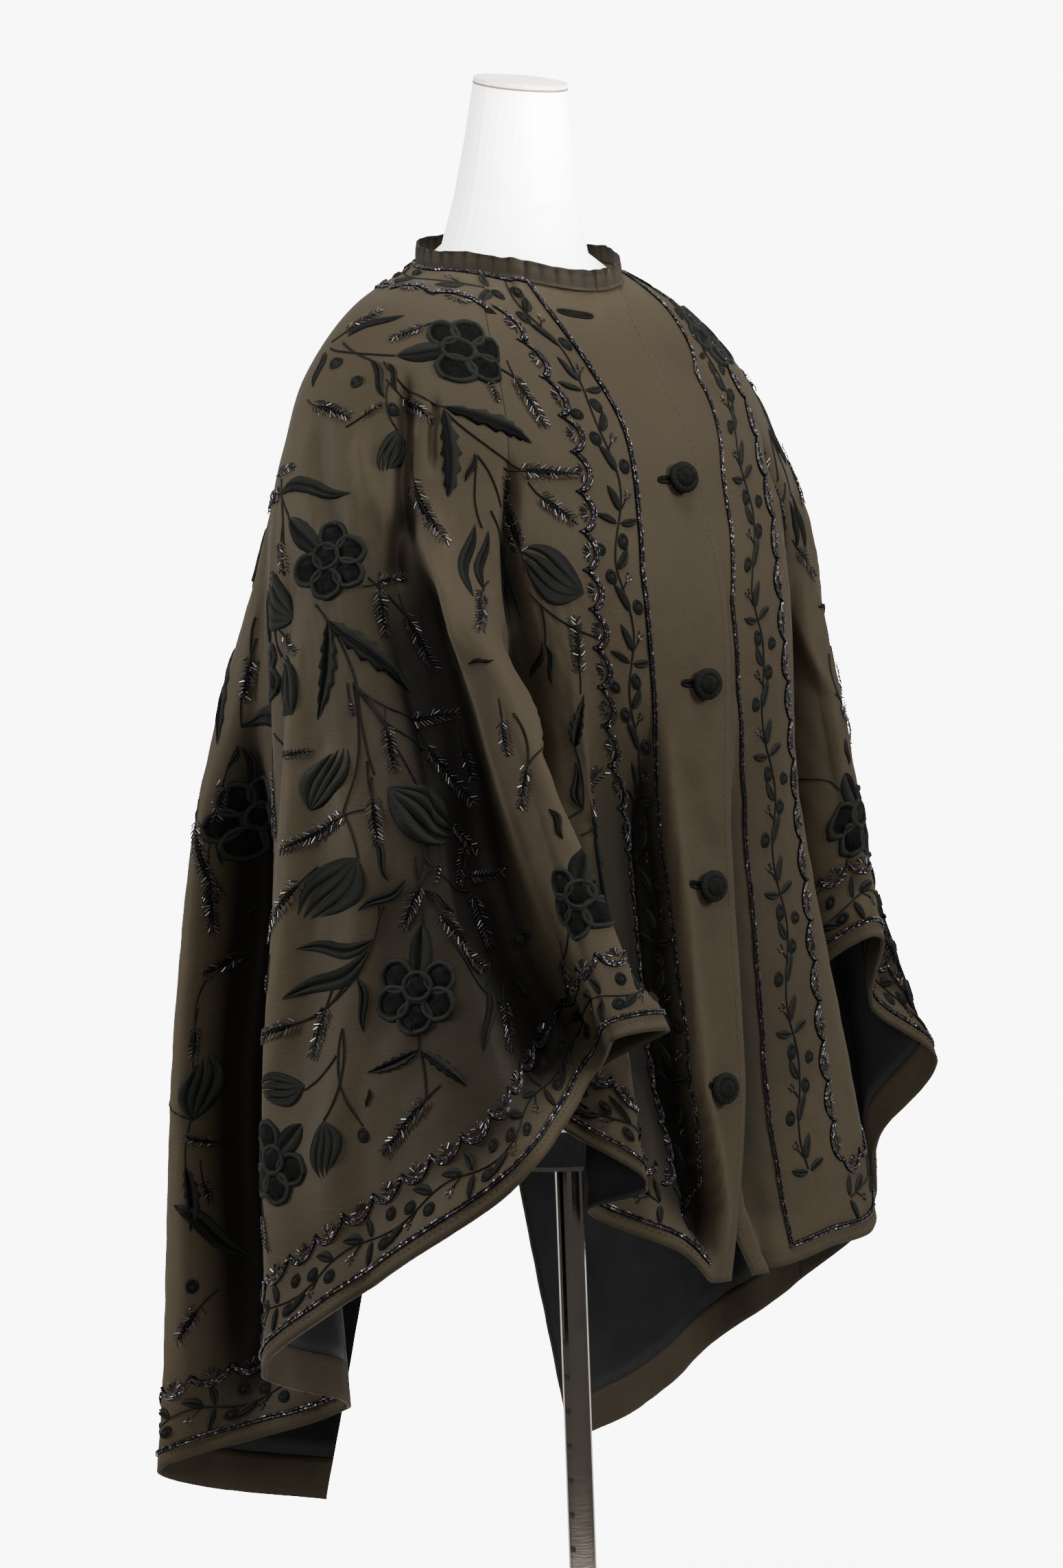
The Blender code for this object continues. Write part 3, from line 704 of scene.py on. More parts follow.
def grid_faces(columns, rows, first=0):
    """Quads of a grid whose points are numbered column by column."""
    corner = first + (np.arange(columns - 1)[:, None] * rows + np.arange(rows - 1)).ravel()
    return np.stack([corner, corner + rows, corner + rows + 1, corner + 1], axis=1)


def disc_faces(rings, sides, first=0):
    """Quads and the middle triangles of a disc: its middle point, then rings of points."""
    turn = np.arange(sides)
    after = (turn + 1) % sides
    start = first + 1
    triangles = np.stack([np.full(sides, first), start + turn, start + after], axis=1)
    quads = [
        np.stack([start + k * sides + turn, start + (k + 1) * sides + turn,
                  start + (k + 1) * sides + after, start + k * sides + after], axis=1)
        for k in range(rings - 1)
    ]
    return np.concatenate(quads), triangles


def add_piece(name, points, faces, materials, uv=None, values=None, face_material=None):
    """A named object at the origin. faces is a list of arrays, each with faces of one size."""
    mesh = bpy.data.meshes.new(name)
    corners = np.concatenate([part.ravel() for part in faces]).astype(np.int32)
    counts = np.concatenate([np.full(len(part), part.shape[1]) for part in faces])
    starts = np.concatenate([[0], np.cumsum(counts)[:-1]]).astype(np.int32)
    mesh.vertices.add(len(points))
    mesh.vertices.foreach_set("co", np.asarray(points, np.float32).ravel())
    mesh.loops.add(len(corners))
    mesh.loops.foreach_set("vertex_index", corners)
    mesh.polygons.add(len(counts))
    mesh.polygons.foreach_set("loop_start", starts)
    for material in materials:
        mesh.materials.append(material)
    if face_material is not None:
        mesh.polygons.foreach_set("material_index", np.asarray(face_material, np.int32))
    if uv is not None:
        layer = mesh.uv_layers.new(name="cloth")
        layer.data.foreach_set("uv", np.asarray(uv, np.float32)[corners].ravel())
    for key, value in (values or {}).items():
        attribute = mesh.attributes.new(key, "FLOAT", "POINT")
        attribute.data.foreach_set("value", np.asarray(value, np.float32))
    mesh.update(calc_edges=True)
    if mesh.validate():
        raise RuntimeError(f"{name} has faces that Blender had to mend")
    mesh.shade_smooth()
    made = bpy.data.objects.new(name, mesh)
    bpy.context.scene.collection.objects.link(made)
    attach(made, "root")
    return made


# The camera of the photograph


def camera_axes():
    """Right, up and forward: a level direction turned about Z, pitched, then rolled about itself."""
    level = np.array((math.sin(EYE_TURN), math.cos(EYE_TURN), 0.0))
    forward = level * math.cos(EYE_PITCH) + np.array((0.0, 0.0, math.sin(EYE_PITCH)))
    side = unit(np.cross(forward, (0.0, 0.0, 1.0)))
    right = side * math.cos(EYE_ROLL) + np.cross(side, forward) * math.sin(EYE_ROLL)
    return right, np.cross(right, forward), forward


def photo_pixels(points):
    """Photo pixels of points, and their distance along the camera's axis."""
    right, up, forward = camera_axes()
    away = points - EYE
    depth = away @ forward
    x = PHOTO_SIZE[0] / 2 + PHOTO_FOCAL * (away @ right) / depth
    y = PHOTO_SIZE[1] / 2 - PHOTO_FOCAL * (away @ up) / depth
    return np.stack([x, y], axis=-1), depth


# The cloth's grid


def hem_places(side):
    """A place along the hem for each line, in metres, from chords at mid height and hem."""
    rows = np.array(FOLDS[side])
    steps = (
        np.linalg.norm(np.diff(rows[:, 0:2], axis=0), axis=1)
        + np.linalg.norm(np.diff(rows[:, 2:5], axis=0), axis=1)
    ) / 2
    return np.concatenate([[0.0], np.cumsum(steps)])


def column_cuts():
    """The cut-line number of every column, alike on both halves. Whole numbers lie on the lines."""
    widths = np.maximum(np.diff(hem_places("right")), np.diff(hem_places("left")))
    counts = np.maximum(5, np.round(widths / COLUMN_STEP).astype(int))
    parts = [k + np.arange(n) / n for k, n in enumerate(counts)]
    return np.concatenate([*parts, [len(counts)]])


def ring_point(ring, theta):
    """Points at angles theta from the centre front on a ring, saddle shaped over the shoulders."""
    half_width, front, back, centre_y, z_side, z_front, z_back = np.moveaxis(ring, -1, 0)
    cos = np.cos(theta)
    reach = np.where(cos > 0, front, back)
    rise = np.where(cos > 0, z_front, z_back) - z_side
    return np.stack(
        [half_width * np.sin(theta), centre_y - reach * cos, z_side + rise * cos * cos], axis=-1
    )


def yoke_point(station, theta):
    ring = smooth(np.arange(len(YOKE_RINGS)), YOKE_RINGS, np.full(np.size(theta), float(station)))
    return ring_point(ring, theta)


def outward_normals(grid):
    """Unit normals of a grid that point away from the body's middle line."""
    normal = unit(np.cross(np.gradient(grid, axis=0), np.gradient(grid, axis=1)))
    return normal * np.sign(np.sum(normal * grid * (1, 1, 0)))


class Half:
    """One half of the mantle as a grid of points and normals, from front edge to centre back."""

    def __init__(self, side):
        self.side = side
        self.cuts = column_cuts()
        knots = hem_places(side)
        self.places = np.interp(self.cuts, np.arange(len(knots)), knots)
        line = dict(zip(CUT_LINES, knots))
        self.drop = np.concatenate([np.zeros(YOKE_ROWS), np.arange(1, DROP_ROWS + 1) / DROP_ROWS])
        grid = np.concatenate(self.yoke_and_fall(knots), axis=1)
        self.open_front(grid, line)
        self.open_vent(grid, line)
        grid[:, :, 0] *= -1.0 if side == "right" else 1.0
        self.points = grid
        self.normals = outward_normals(grid)

    def yoke_and_fall(self, knots):
        """The rows on the yoke's rings, then two joined cubic arcs from there to the hem."""
        neck_deg, yoke_deg = smooth(knots, list(CUT_LINES.values()), self.places).T
        mid_out, mid_y, hem_out, hem_y, hem_z = smooth(knots, FOLDS[self.side], self.places).T
        stations = np.linspace(0, LAST_STATION, YOKE_ROWS)
        turn = (1 - stations / LAST_STATION) ** 3
        theta = np.radians(yoke_deg[:, None] + (neck_deg - yoke_deg)[:, None] * turn)
        rings = smooth(np.arange(len(YOKE_RINGS)), YOKE_RINGS, stations)
        yoke = ring_point(rings[None], theta)

        start = yoke[:, -1]
        before = yoke_point(LAST_STATION - 0.1, np.radians(yoke_deg))
        hem = np.stack([hem_out, hem_y, hem_z], axis=-1)
        mid = np.stack([mid_out, mid_y, start[:, 2] + (hem_z - start[:, 2]) * MID_SHARE], axis=-1)
        speed = np.linalg.norm(mid - start, axis=-1, keepdims=True) / MID_SHARE
        slope_start = unit(start - before) * speed
        slope_mid = hem - start
        slope_hem = (hem - mid) / (1 - MID_SHARE)
        length = np.linalg.norm(mid - start, axis=-1) + np.linalg.norm(hem - mid, axis=-1)
        self.facing_top = 1 - FACING_DEPTH / length
        self.hem_out = hem_out[-1]

        drop = self.drop[YOKE_ROWS:][None, :, None]
        upper = drop < MID_SHARE
        a, b = (np.where(upper, p[:, None], q[:, None]) for p, q in ((start, mid), (mid, hem)))
        slope_a = np.where(upper, slope_start[:, None], slope_mid[:, None])
        slope_b = np.where(upper, slope_mid[:, None], slope_hem[:, None])
        span = np.where(upper, MID_SHARE, 1 - MID_SHARE)
        w = np.where(upper, drop, drop - MID_SHARE) / span
        fall = (
            (1 + 2 * w) * (1 - w) ** 2 * a
            + w * (1 - w) ** 2 * span * slope_a
            + w * w * (3 - 2 * w) * b
            + w * w * (w - 1) * span * slope_b
        )
        return yoke, fall

    def open_front(self, grid, line):
        """The fronts swing apart below the last button, and the right one laps over the left."""
        edge, centre, bead = line["front_edge"], line["front_centre"], line["bead_line"]
        near_edge = ease((bead - self.places) / (bead - edge))[:, None]
        below = np.clip((self.drop - GAPE_START) / (1 - GAPE_START), 0, 1) ** GAPE_POWER
        gape = RIGHT_GAPE if self.side == "right" else LEFT_GAPE
        grid[:, :, 0] += gape * near_edge * below
        if self.side == "right":
            near_lap = ease((line["front_turn"] - self.places) / (bead - centre))[:, None, None]
            grid += outward_normals(grid) * LAP_RISE * near_lap
        else:
            trough = np.exp(-(((self.places - (centre + bead) / 2) / TROUGH_WIDTH) ** 2))[:, None]
            grid[:, :, 1] += TROUGH_DEPTH * trough * below

    def open_vent(self, grid, line):
        """The two backs meet on the centre line down to the vent, and part below it."""
        fall, centre = line["back_fall"], line["centre_back"]
        near_centre = ease((self.places - fall) / (centre - fall))[:, None]
        share = np.clip((self.drop - VENT_START) / (1 - VENT_START), 0, 1)
        grid[:, :, 0] += near_centre * (self.hem_out * share**VENT_POWER - grid[-1, :, 0])

    def column(self, cut):
        return np.interp(cut, self.cuts, np.arange(len(self.cuts)))

    def row(self, drop):
        return YOKE_ROWS - 1 + np.asarray(drop) * DROP_ROWS

    def spot(self, cut, drop):
        """Column and row of a cut line's number and a share of the drop."""
        return self.column(cut), self.row(drop)

    def anchors(self, pixels):
        """Column and row under photo pixels: the cloth nearest to the eye there, then one Newton step."""
        pixels = np.asarray(pixels, float)
        seen, depth = photo_pixels(self.points)
        facing = np.sum(self.normals * (EYE - self.points), axis=-1) > 0
        across, down = np.gradient(seen, axis=0), np.gradient(seen, axis=1)
        found = []
        for pixel in pixels:
            gap = np.linalg.norm(seen - pixel, axis=-1)
            near = (gap < ANCHOR_PIXELS) & facing
            cost = np.where(near, depth + gap * ANCHOR_COST, ANCHOR_MISS + gap)
            i, j = np.unravel_index(np.argmin(cost), cost.shape)
            slopes = np.stack([across[i, j], down[i, j]], axis=1)
            step = np.clip(np.linalg.lstsq(slopes, pixel - seen[i, j], rcond=None)[0], -1.5, 1.5)
            found.append((i + step[0], j + step[1]))
        return np.array(found)

    def crease(self, segments, edges):
        """Raises the grid along its normals by creases, fold edges and ripples.

        A crease is a bell across its line and fades at its ends. A fold edge is a small ridge with a steep
        dip beside it that comes back slowly. Ripples are soft noise that grows towards the hem, and a seam
        is a narrow groove.
        """
        u = self.places[:, None]
        v = chord_sums(self.points, 1)
        lift = np.zeros(v.shape)
        for (i0, j0, i1, j1), width, depth in segments:
            ends = [(np.interp(i, np.arange(len(self.places)), self.places),
                     np.interp(j, np.arange(v.shape[1]), v[int(np.clip(i, 0, v.shape[0] - 1))]))
                    for i, j in ((i0, j0), (i1, j1))]
            (u0, v0), (u1, v1) = ends
            run = np.hypot(u1 - u0, v1 - v0)
            t = ((u - u0) * (u1 - u0) + (v - v0) * (v1 - v0)) / run**2
            off = ((u - u0) * (v1 - v0) - (v - v0) * (u1 - u0)) / run
            off = off + CREASE_WANDER * width * np.sin(9 * t)
            fade_in = ease((t + CREASE_RUNOUT) / CREASE_FADE)
            fade_out = ease((1 + CREASE_RUNOUT - t) / CREASE_FADE)
            lift -= depth * np.exp(-((off / width) ** 2)) * fade_in * fade_out
        rows = np.arange(v.shape[1])
        for line, toward, depth, wall, reach in edges:
            line = line[np.argsort(line[:, 1])]
            at = np.interp(rows, line[:, 1], np.interp(line[:, 0], np.arange(len(self.places)), self.places))
            off = toward * (u - at)
            fade_out = ease((line[-1, 1] + EDGE_FADE_OUT + 1 - rows) / EDGE_FADE_OUT)
            window = depth * ease((rows - line[0, 1]) / EDGE_FADE_IN) * fade_out
            dip = (1 - np.exp(-((off / wall) ** 2))) * np.exp(-np.abs(off) / reach)
            ridge = EDGE_RIDGE * np.exp(-((off / EDGE_RIDGE_WIDTH) ** 2))
            lift += window * (ridge - np.where(off > 0, dip, 0.0))
        for number, (height, start, span, wide, long) in enumerate(RIPPLES):
            grown = ease((self.drop[None] - start) / span)
            lift += height * grown * soft_noise(u / wide, v / long, RIPPLE_SEEDS[self.side] + number)
        from_edge = ease((u - self.places[0]) / FREE_EDGE_WIDTH)
        lift *= from_edge * (1 - FREE_EDGE_SHARE) + FREE_EDGE_SHARE
        for seam in ("armhole", "back_valley", "centre_back"):
            at = np.interp(CUT[seam], self.cuts, self.places)
            lift -= SEAM_GROOVE * np.exp(-(((u - at) / SEAM_WIDTH) ** 2))
        self.lift = lift * sizes().crease_depth
        self.points = self.points + self.normals * self.lift[..., None]
        self.normals = outward_normals(self.points)

    def read(self, table, i, j):
        """A table of the grid read between its columns and rows."""
        i = np.clip(i, 0, table.shape[0] - 1.0001)
        j = np.clip(j, 0, table.shape[1] - 1.0001)
        i0, j0 = i.astype(int), j.astype(int)
        a, b = (i - i0)[..., None], (j - j0)[..., None]
        top = table[i0, j0] * (1 - a) + table[i0 + 1, j0] * a
        low = table[i0, j0 + 1] * (1 - a) + table[i0 + 1, j0 + 1] * a
        return top * (1 - b) + low * b

    def at(self, i, j, lift=0.0):
        """World points over column i and row j, raised by lift along the cloth's normal."""
        i, j, lift = np.broadcast_arrays(np.asarray(i, float), np.asarray(j, float), np.asarray(lift, float))
        return self.read(self.points, i, j) + unit(self.read(self.normals, i, j)) * lift[..., None]

    def steps(self, i, j, reach=4.0):
        """The way along one column and along one row, near a place."""
        across = (self.at(i + reach, j) - self.at(i - reach, j)) / (2 * reach)
        down = (self.at(i, j + reach) - self.at(i, j - reach)) / (2 * reach)
        return across, down


def keep_inside(grid, cover, normals, gap):
    """Moves points of a grid in until they lie a gap inside a cover.

    Each round, a point that is too near to the cover or just through it goes in along the cover's nearest
    normal, and then halfway to the mean of its neighbours in the row, which draws it out of a narrow ridge.
    The last round has no mean.
    """
    faces = grid_faces(*cover.shape[:2])
    tree = BVHTree.FromPolygons(cover.reshape(-1, 3).tolist(), faces.tolist())
    across, down = cover[1, 0] - cover[0, 0], cover[0, 1] - cover[0, 0]
    side = np.sign(np.dot(np.cross(across, down), normals[0, 0]))
    flat = grid.reshape(-1, 3).copy()
    rows = flat.reshape(grid.shape)
    active = np.arange(len(flat))
    for to_go in reversed(range(KEEP_ROUNDS)):
        moved = np.zeros(len(flat), bool)
        for k in active:
            point = flat[k]
            near, facing, _, away = tree.find_nearest(point, KEEP_REACH)
            if near is None:
                continue
            normal = side * np.array(facing)
            height = np.dot(point - near, normal)
            if -KEEP_NEAR * gap < height and abs(height) > KEEP_UPRIGHT * away:
                flat[k] = point - normal * (gap + height)
                moved[k] = True
        changed = moved.reshape(grid.shape[:2])
        if to_go:
            mean = (np.roll(rows, KEEP_SPREAD, 0) + np.roll(rows, -KEEP_SPREAD, 0)) / 2
            inner = changed.copy()
            inner[:KEEP_SPREAD] = False
            inner[-KEEP_SPREAD:] = False
            rows[inner] = (rows[inner] + mean[inner]) / 2
        active = np.flatnonzero(changed | np.roll(changed, 1, 0) | np.roll(changed, -1, 0))
    return rows


@lru_cache(maxsize=None)
def halves():
    """Both halves, creased alike but with ripples of their own, and where the motifs lie on them.

    The left half's creases are softer, and its front is kept inside the right front that laps over it.
    """
    made = {side: Half(side) for side in FOLDS}
    right, left = made["right"], made["left"]
    rows = np.array(PHOTO_CREASES)
    ends = np.concatenate([right.anchors(rows[:, 0:2]), right.anchors(rows[:, 2:4])], axis=1)
    segments = [(end, row[4], row[5]) for end, row in zip(ends, rows)]
    for cut0, drop0, cut1, drop1, width, depth in HIDDEN_CREASES:
        segments.append(((*right.spot(cut0, drop0), *right.spot(cut1, drop1)), width, depth))
    edges = [(right.anchors(pixels), *rest) for pixels, *rest in PHOTO_EDGES]
    right.crease(segments, edges)
    soft_segments = [(end, width, depth * LEFT_CREASE) for end, width, depth in segments]
    soft_edges = [(line, toward, depth * LEFT_EDGE, *rest) for line, toward, depth, *rest in edges]
    left.crease(soft_segments, soft_edges)
    under = piece_columns(left, "front")[1] + 1
    over = piece_columns(right, "front")[1] + 1
    left.points[:under] = keep_inside(
        left.points[:under], right.points[:over], right.normals[:over], WALL + SEAM_GAP
    )
    left.normals = outward_normals(left.points)
    made["anchors"] = right.anchors([row[1:3] for row in PHOTO_MOTIFS] + [row[3:5] for row in PHOTO_MOTIFS])
    made["stalks"] = right.anchors([row[0:2] for row in PHOTO_STALKS] + [row[2:4] for row in PHOTO_STALKS])
    made["bead_line"] = {"right": right.anchors(BEAD_LINE), "left": left.anchors(BEAD_LINE_LEFT)}
    return made


# Finishes


class Socket:
    """A shader socket. Sums and products of it add Math nodes."""

    def __init__(self, finish, socket):
        self.finish = finish
        self.socket = socket

    def math(self, operation, a, b):
        return self.finish.node("ShaderNodeMath", {"operation": operation}, {0: a, 1: b})

    def __add__(self, other):
        return self.math("ADD", self, other)

    def __radd__(self, other):
        return self.math("ADD", other, self)

    def __mul__(self, other):
        return self.math("MULTIPLY", self, other)


class Finish:
    """A material whose nodes are added by name."""

    def __init__(self, name, **constants):
        self.material = bpy.data.materials.new(name)
        self.material.use_nodes = True
        self.tree = self.material.node_tree
        self.shader = self.tree.nodes["Principled BSDF"]
        for key, value in constants.items():
            self.shader.inputs[key.replace("_", " ").title().replace("Ior", "IOR")].default_value = value

    def node(self, kind, settings=None, sockets=None, out=0):
        """Adds a node of that kind, sets its settings, then its sockets' values or links."""
        made = self.tree.nodes.new(kind)
        for key, value in (settings or {}).items():
            setattr(made, key, value)
        for key, value in (sockets or {}).items():
            self.feed(made.inputs[key], value)
        return Socket(self, made.outputs[out])

    def feed(self, target, value):
        if isinstance(value, Socket):
            self.tree.links.new(value.socket, target)
        else:
            target.default_value = value

    def object_place(self):
        return self.node("ShaderNodeTexCoord", out="Object")

    def cloth_place(self, across=1.0, down=1.0):
        """The cloth's own map in metres, stretched."""
        place = self.node("ShaderNodeUVMap", {"uv_map": "cloth"})
        return self.node("ShaderNodeMapping", None, {"Vector": place, "Scale": (across, down, 1.0)})

    def noise(self, place, scale, detail):
        sockets = {"Vector": place, "Scale": scale, "Detail": detail, "Roughness": 0.55}
        return self.node("ShaderNodeTexNoise", None, sockets)

    def bands(self, place, direction, scale, distortion):
        settings = {"wave_type": "BANDS", "bands_direction": direction}
        sockets = {"Vector": place, "Scale": scale, "Distortion": distortion}
        return self.node("ShaderNodeTexWave", settings, sockets, "Fac")

    def value(self, name):
        return self.node("ShaderNodeAttribute", {"attribute_name": name}, out="Fac")

    def between(self, factor, a, b):
        """A colour mixed from two others."""
        return self.node("ShaderNodeMix", {"data_type": "RGBA"}, {0: factor, 6: a, 7: b}, 2)

    def ramp(self, factor, low, high):
        """0 below low and 1 above high."""
        sockets = {"Value": factor, "From Min": low, "From Max": high}
        return self.node("ShaderNodeMapRange", {"clamp": True}, sockets)

    def bump(self, height, strength, distance):
        sockets = {"Height": height, "Strength": strength, "Distance": distance}
        self.feed(self.shader.inputs["Normal"], self.node("ShaderNodeBump", None, sockets))

    def colour(self, value):
        self.feed(self.shader.inputs["Base Color"], value)

    def rough(self, value):
        self.feed(self.shader.inputs["Roughness"], value)


def tinted(colour, share):
    return (*(min(1.0, c * share) for c in colour), 1.0)


@lru_cache(maxsize=None)
def silk_finish(name):
    """Ribbed silk: ribs, slubs and cloudy colour, pale on worn ridges, and painted shade in deep folds."""
    tone = colours().silk if name == "ribbed_silk" else colours().facing
    made = Finish(name, specular_ior_level=0.05, sheen_weight=0.01, sheen_roughness=0.45)
    ribs = made.bands(made.cloth_place(), "Y", 260.0, 1.2)
    slubs = made.noise(made.cloth_place(60.0, 700.0), 1.0, 3.0)
    clouds = made.noise(made.object_place(), 8.0, 4.0)
    grain = made.noise(made.object_place(), 420.0, 2.0)
    worn = made.ramp(made.value("lift"), -0.004, 0.005)
    mixed = clouds * 0.55 + slubs * 0.35 + grain * 0.25 + worn * 0.35
    faded = made.between(made.ramp(mixed, 0.35, 1.15), tinted(tone, 0.68), tinted(tone, 1.28))
    # Painted shade: where the lift sinks into a deep fold the silk is darkened to a tenth of its colour.
    made.colour(made.between(made.ramp(made.value("lift"), -0.020, -0.004), tinted(tone, 0.10), faded))
    made.rough(0.56 + slubs * 0.22)
    made.bump(ribs * 0.4 + slubs * 0.5 + grain * 0.3, 0.35, 0.0006)
    return made.material


@lru_cache(maxsize=None)
def lining_finish():
    """Dark sateen: slanted fine lines and soft clouds."""
    tone = colours().lining
    made = Finish("sateen_lining", specular_ior_level=0.06)
    slant = made.bands(made.cloth_place(), "DIAGONAL", 300.0, 0.8)
    clouds = made.noise(made.object_place(), 14.0, 4.0)
    made.colour(made.between(made.ramp(clouds, 0.3, 0.7), tinted(tone, 0.7), tinted(tone, 1.8)))
    made.rough(0.45 + clouds * 0.25)
    made.bump(slant, 0.2, 0.0004)
    return made.material


@lru_cache(maxsize=None)
def thread_finish():
    """Silk thread: close strands along each stitch, dark in the hollows and lit on the crowns."""
    dark, light = colours().thread_dark, colours().thread_light
    made = Finish("silk_thread", specular_ior_level=0.02)
    strands = made.bands(made.cloth_place(), "X", 420.0, 0.6)
    fray = made.noise(made.cloth_place(900.0, 120.0), 1.0, 2.0)
    knots = made.noise(made.object_place(), 800.0, 1.0)
    # The tone attribute carries the stitches' painted light and shade, with strands and fray on top.
    tone = made.value("tone") * 0.85 + strands * 0.12 + fray * 0.16
    made.colour(made.between(made.ramp(tone, 0.1, 1.0), tinted(dark, 1.0), tinted(light, 1.0)))
    made.rough(0.40 + fray * 0.20)
    made.bump(strands * 0.5 + fray * 0.3 + knots * 0.6, 0.6, 0.0006)
    return made.material


@lru_cache(maxsize=None)
def bead_finish():
    """Cut jet: black glass, with some beads bronzed."""
    made = Finish("cut_beads", specular_ior_level=0.18)
    bronzed = made.ramp(made.value("tint"), 0.74, 1.0)
    made.colour(made.between(bronzed, tinted(colours().jet, 1.0), tinted(colours().bronze, 1.0)))
    scratch = made.noise(made.object_place(), 900.0, 2.0)
    made.rough(0.20 + scratch * 0.16)
    return made.material


@lru_cache(maxsize=None)
def form_finish():
    """White painted form with a fine tooth and faint handling marks."""
    tone = colours().form_white
    made = Finish("form_paint", specular_ior_level=0.4)
    tooth = made.noise(made.object_place(), 260.0, 4.0)
    marks = made.noise(made.object_place(), 7.0, 5.0)
    made.colour(made.between(made.ramp(marks, 0.35, 0.75), tinted(tone, 1.0), tinted(tone, 0.93)))
    made.rough(0.42 + marks * 0.2)
    made.bump(tooth, 0.12, 0.0004)
    return made.material


@lru_cache(maxsize=None)
def steel_finish(name, roughness, share=(1.0, 1.0, 1.0)):
    """Plated steel with drawn lines along the turning and a few dull patches."""
    tone = [channel * part for channel, part in zip(colours().steel, share)]
    made = Finish(name, metallic=1.0)
    sockets = {"Vector": made.object_place(), "Scale": (60.0, 60.0, 900.0)}
    drawn = made.noise(made.node("ShaderNodeMapping", None, sockets), 1.0, 2.0)
    dull = made.noise(made.object_place(), 22.0, 5.0)
    made.colour(made.between(made.ramp(dull, 0.4, 0.75), tinted(tone, 1.0), tinted(tone, 0.72)))
    made.rough(roughness + drawn * 0.10 + dull * 0.10)
    made.bump(drawn, 0.08, 0.0003)
    return made.material


@lru_cache(maxsize=None)
def plain_finish(name, tone, roughness):
    """A dull painted or laminated surface with speckle and a fine tooth."""
    made = Finish(name, specular_ior_level=0.35)
    speckle = made.noise(made.object_place(), 180.0, 5.0)
    broad = made.noise(made.object_place(), 20.0, 3.0)
    mixed = speckle * 0.6 + broad * 0.5
    made.colour(made.between(made.ramp(mixed, 0.35, 0.75), tinted(tone, 0.75), tinted(tone, 1.2)))
    made.rough(roughness + speckle * 0.2)
    made.bump(speckle, 0.15, 0.0004)
    return made.material


@lru_cache(maxsize=None)
def floor_finish():
    """A pale floor that takes the shadow near the stand and fades into the backdrop further away."""
    made = Finish("pale_floor", specular_ior_level=0.1, roughness=0.8)
    place = made.object_place()
    distance = made.node("ShaderNodeVectorMath", {"operation": "LENGTH"}, {0: place}, "Value")
    speckle = made.noise(place, 60.0, 3.0)
    made.colour(made.between(made.ramp(speckle, 0.3, 0.7), (0.80, 0.79, 0.78, 1.0), (0.84, 0.83, 0.82, 1.0)))
    clear = made.tree.nodes.new("ShaderNodeBsdfTransparent")
    choice = made.tree.nodes.new("ShaderNodeMixShader")
    made.feed(choice.inputs[0], made.ramp(distance, FLOOR_NEAR, FLOOR_FAR))
    made.tree.links.new(made.shader.outputs[0], choice.inputs[1])
    made.tree.links.new(clear.outputs[0], choice.inputs[2])
    made.tree.links.new(choice.outputs[0], made.tree.nodes["Material Output"].inputs["Surface"])
    return made.material


# Cloth pieces


def shell(name, outer, inner, materials, uv, values):
    """A thin closed cloth wall between two grids: outer faces, inner faces, then the rim."""
    columns, rows = outer.shape[:2]
    count = columns * rows
    index = np.arange(count).reshape(columns, rows)
    loop = np.concatenate([index[:, 0], index[-1, 1:], index[-2::-1, -1], index[0, -2:0:-1]])
    after = np.roll(loop, -1)
    front = grid_faces(columns, rows)
    rim = np.stack([after, loop, loop + count, after + count], axis=1)
    mid = columns // 2, rows // 2
    across, down = outer[mid[0] + 1, mid[1]] - outer[mid], outer[mid[0], mid[1] + 1] - outer[mid]
    faces = np.concatenate([front, front[:, ::-1] + count, rim])
    if np.dot(np.cross(across, down), outer[mid] - inner[mid]) < 0:
        faces = faces[:, ::-1]
    points = np.concatenate([outer.reshape(-1, 3), inner.reshape(-1, 3)])
    uv = np.concatenate([uv.reshape(-1, 2)] * 2)
    values = {key: np.concatenate([value.ravel()] * 2) for key, value in values.items()}
    inside = np.zeros(len(faces), int)
    if len(materials) > 1:
        inside[len(front) : 2 * len(front)] = 1
    return add_piece(name, points, [faces], materials, uv, values, inside)


def cut_of(grid):
    """Width, length and area of a piece as it lies flat, from its longest row and column."""
    across, down = chord_sums(grid, 0), chord_sums(grid, 1)
    sides = np.cross(grid[1:, 1:] - grid[:-1, :-1], grid[1:, :-1] - grid[:-1, 1:])
    return across[-1].max(), down[:, -1].max(), np.linalg.norm(sides, axis=-1).sum() / 2


def declare_sheet(grid):
    width, length, area = cut_of(grid)


def pull_back(grid, at, toward):
    """Moves an edge column a little towards the next, which leaves the seam's gap."""
    grid[at] = grid[at] + unit(grid[toward] - grid[at]) * SEAM_GAP / 6


def piece_columns(half, piece):
    first, last = (int(round(float(half.column(CUT[name])))) for name in PIECES[piece])
    return first, last


def cloth_map(half, first, last, grid):
    """Map of a piece in metres: its place along the hem, and the way down from its top."""
    across = np.broadcast_to(half.places[first : last + 1, None], grid.shape[:2])
    return np.stack([across, chord_sums(grid, 1)], axis=-1)


def make_panel(half, piece):
    """One of the six cloth panels, ribbed silk outside and lining inside."""
    first, last = piece_columns(half, piece)
    grid = half.points[first : last + 1].copy()
    normal = half.normals[first : last + 1]
    if piece != "front":
        pull_back(grid, 0, 1)
    pull_back(grid, -1, -2)
    uv = cloth_map(half, first, last, grid)
    name = f"{piece}_{half.side}"
    # The lift carries the creases to the silk, which pales the worn ridges and paints shade in the deep
    # folds.
    values = {"lift": half.lift[first : last + 1]}
    materials = [silk_finish("ribbed_silk"), lining_finish()]
    made = shell(f"cloth_{name}", grid, grid - WALL * normal, materials, uv, values)
    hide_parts(name)
    declare_sheet(grid)


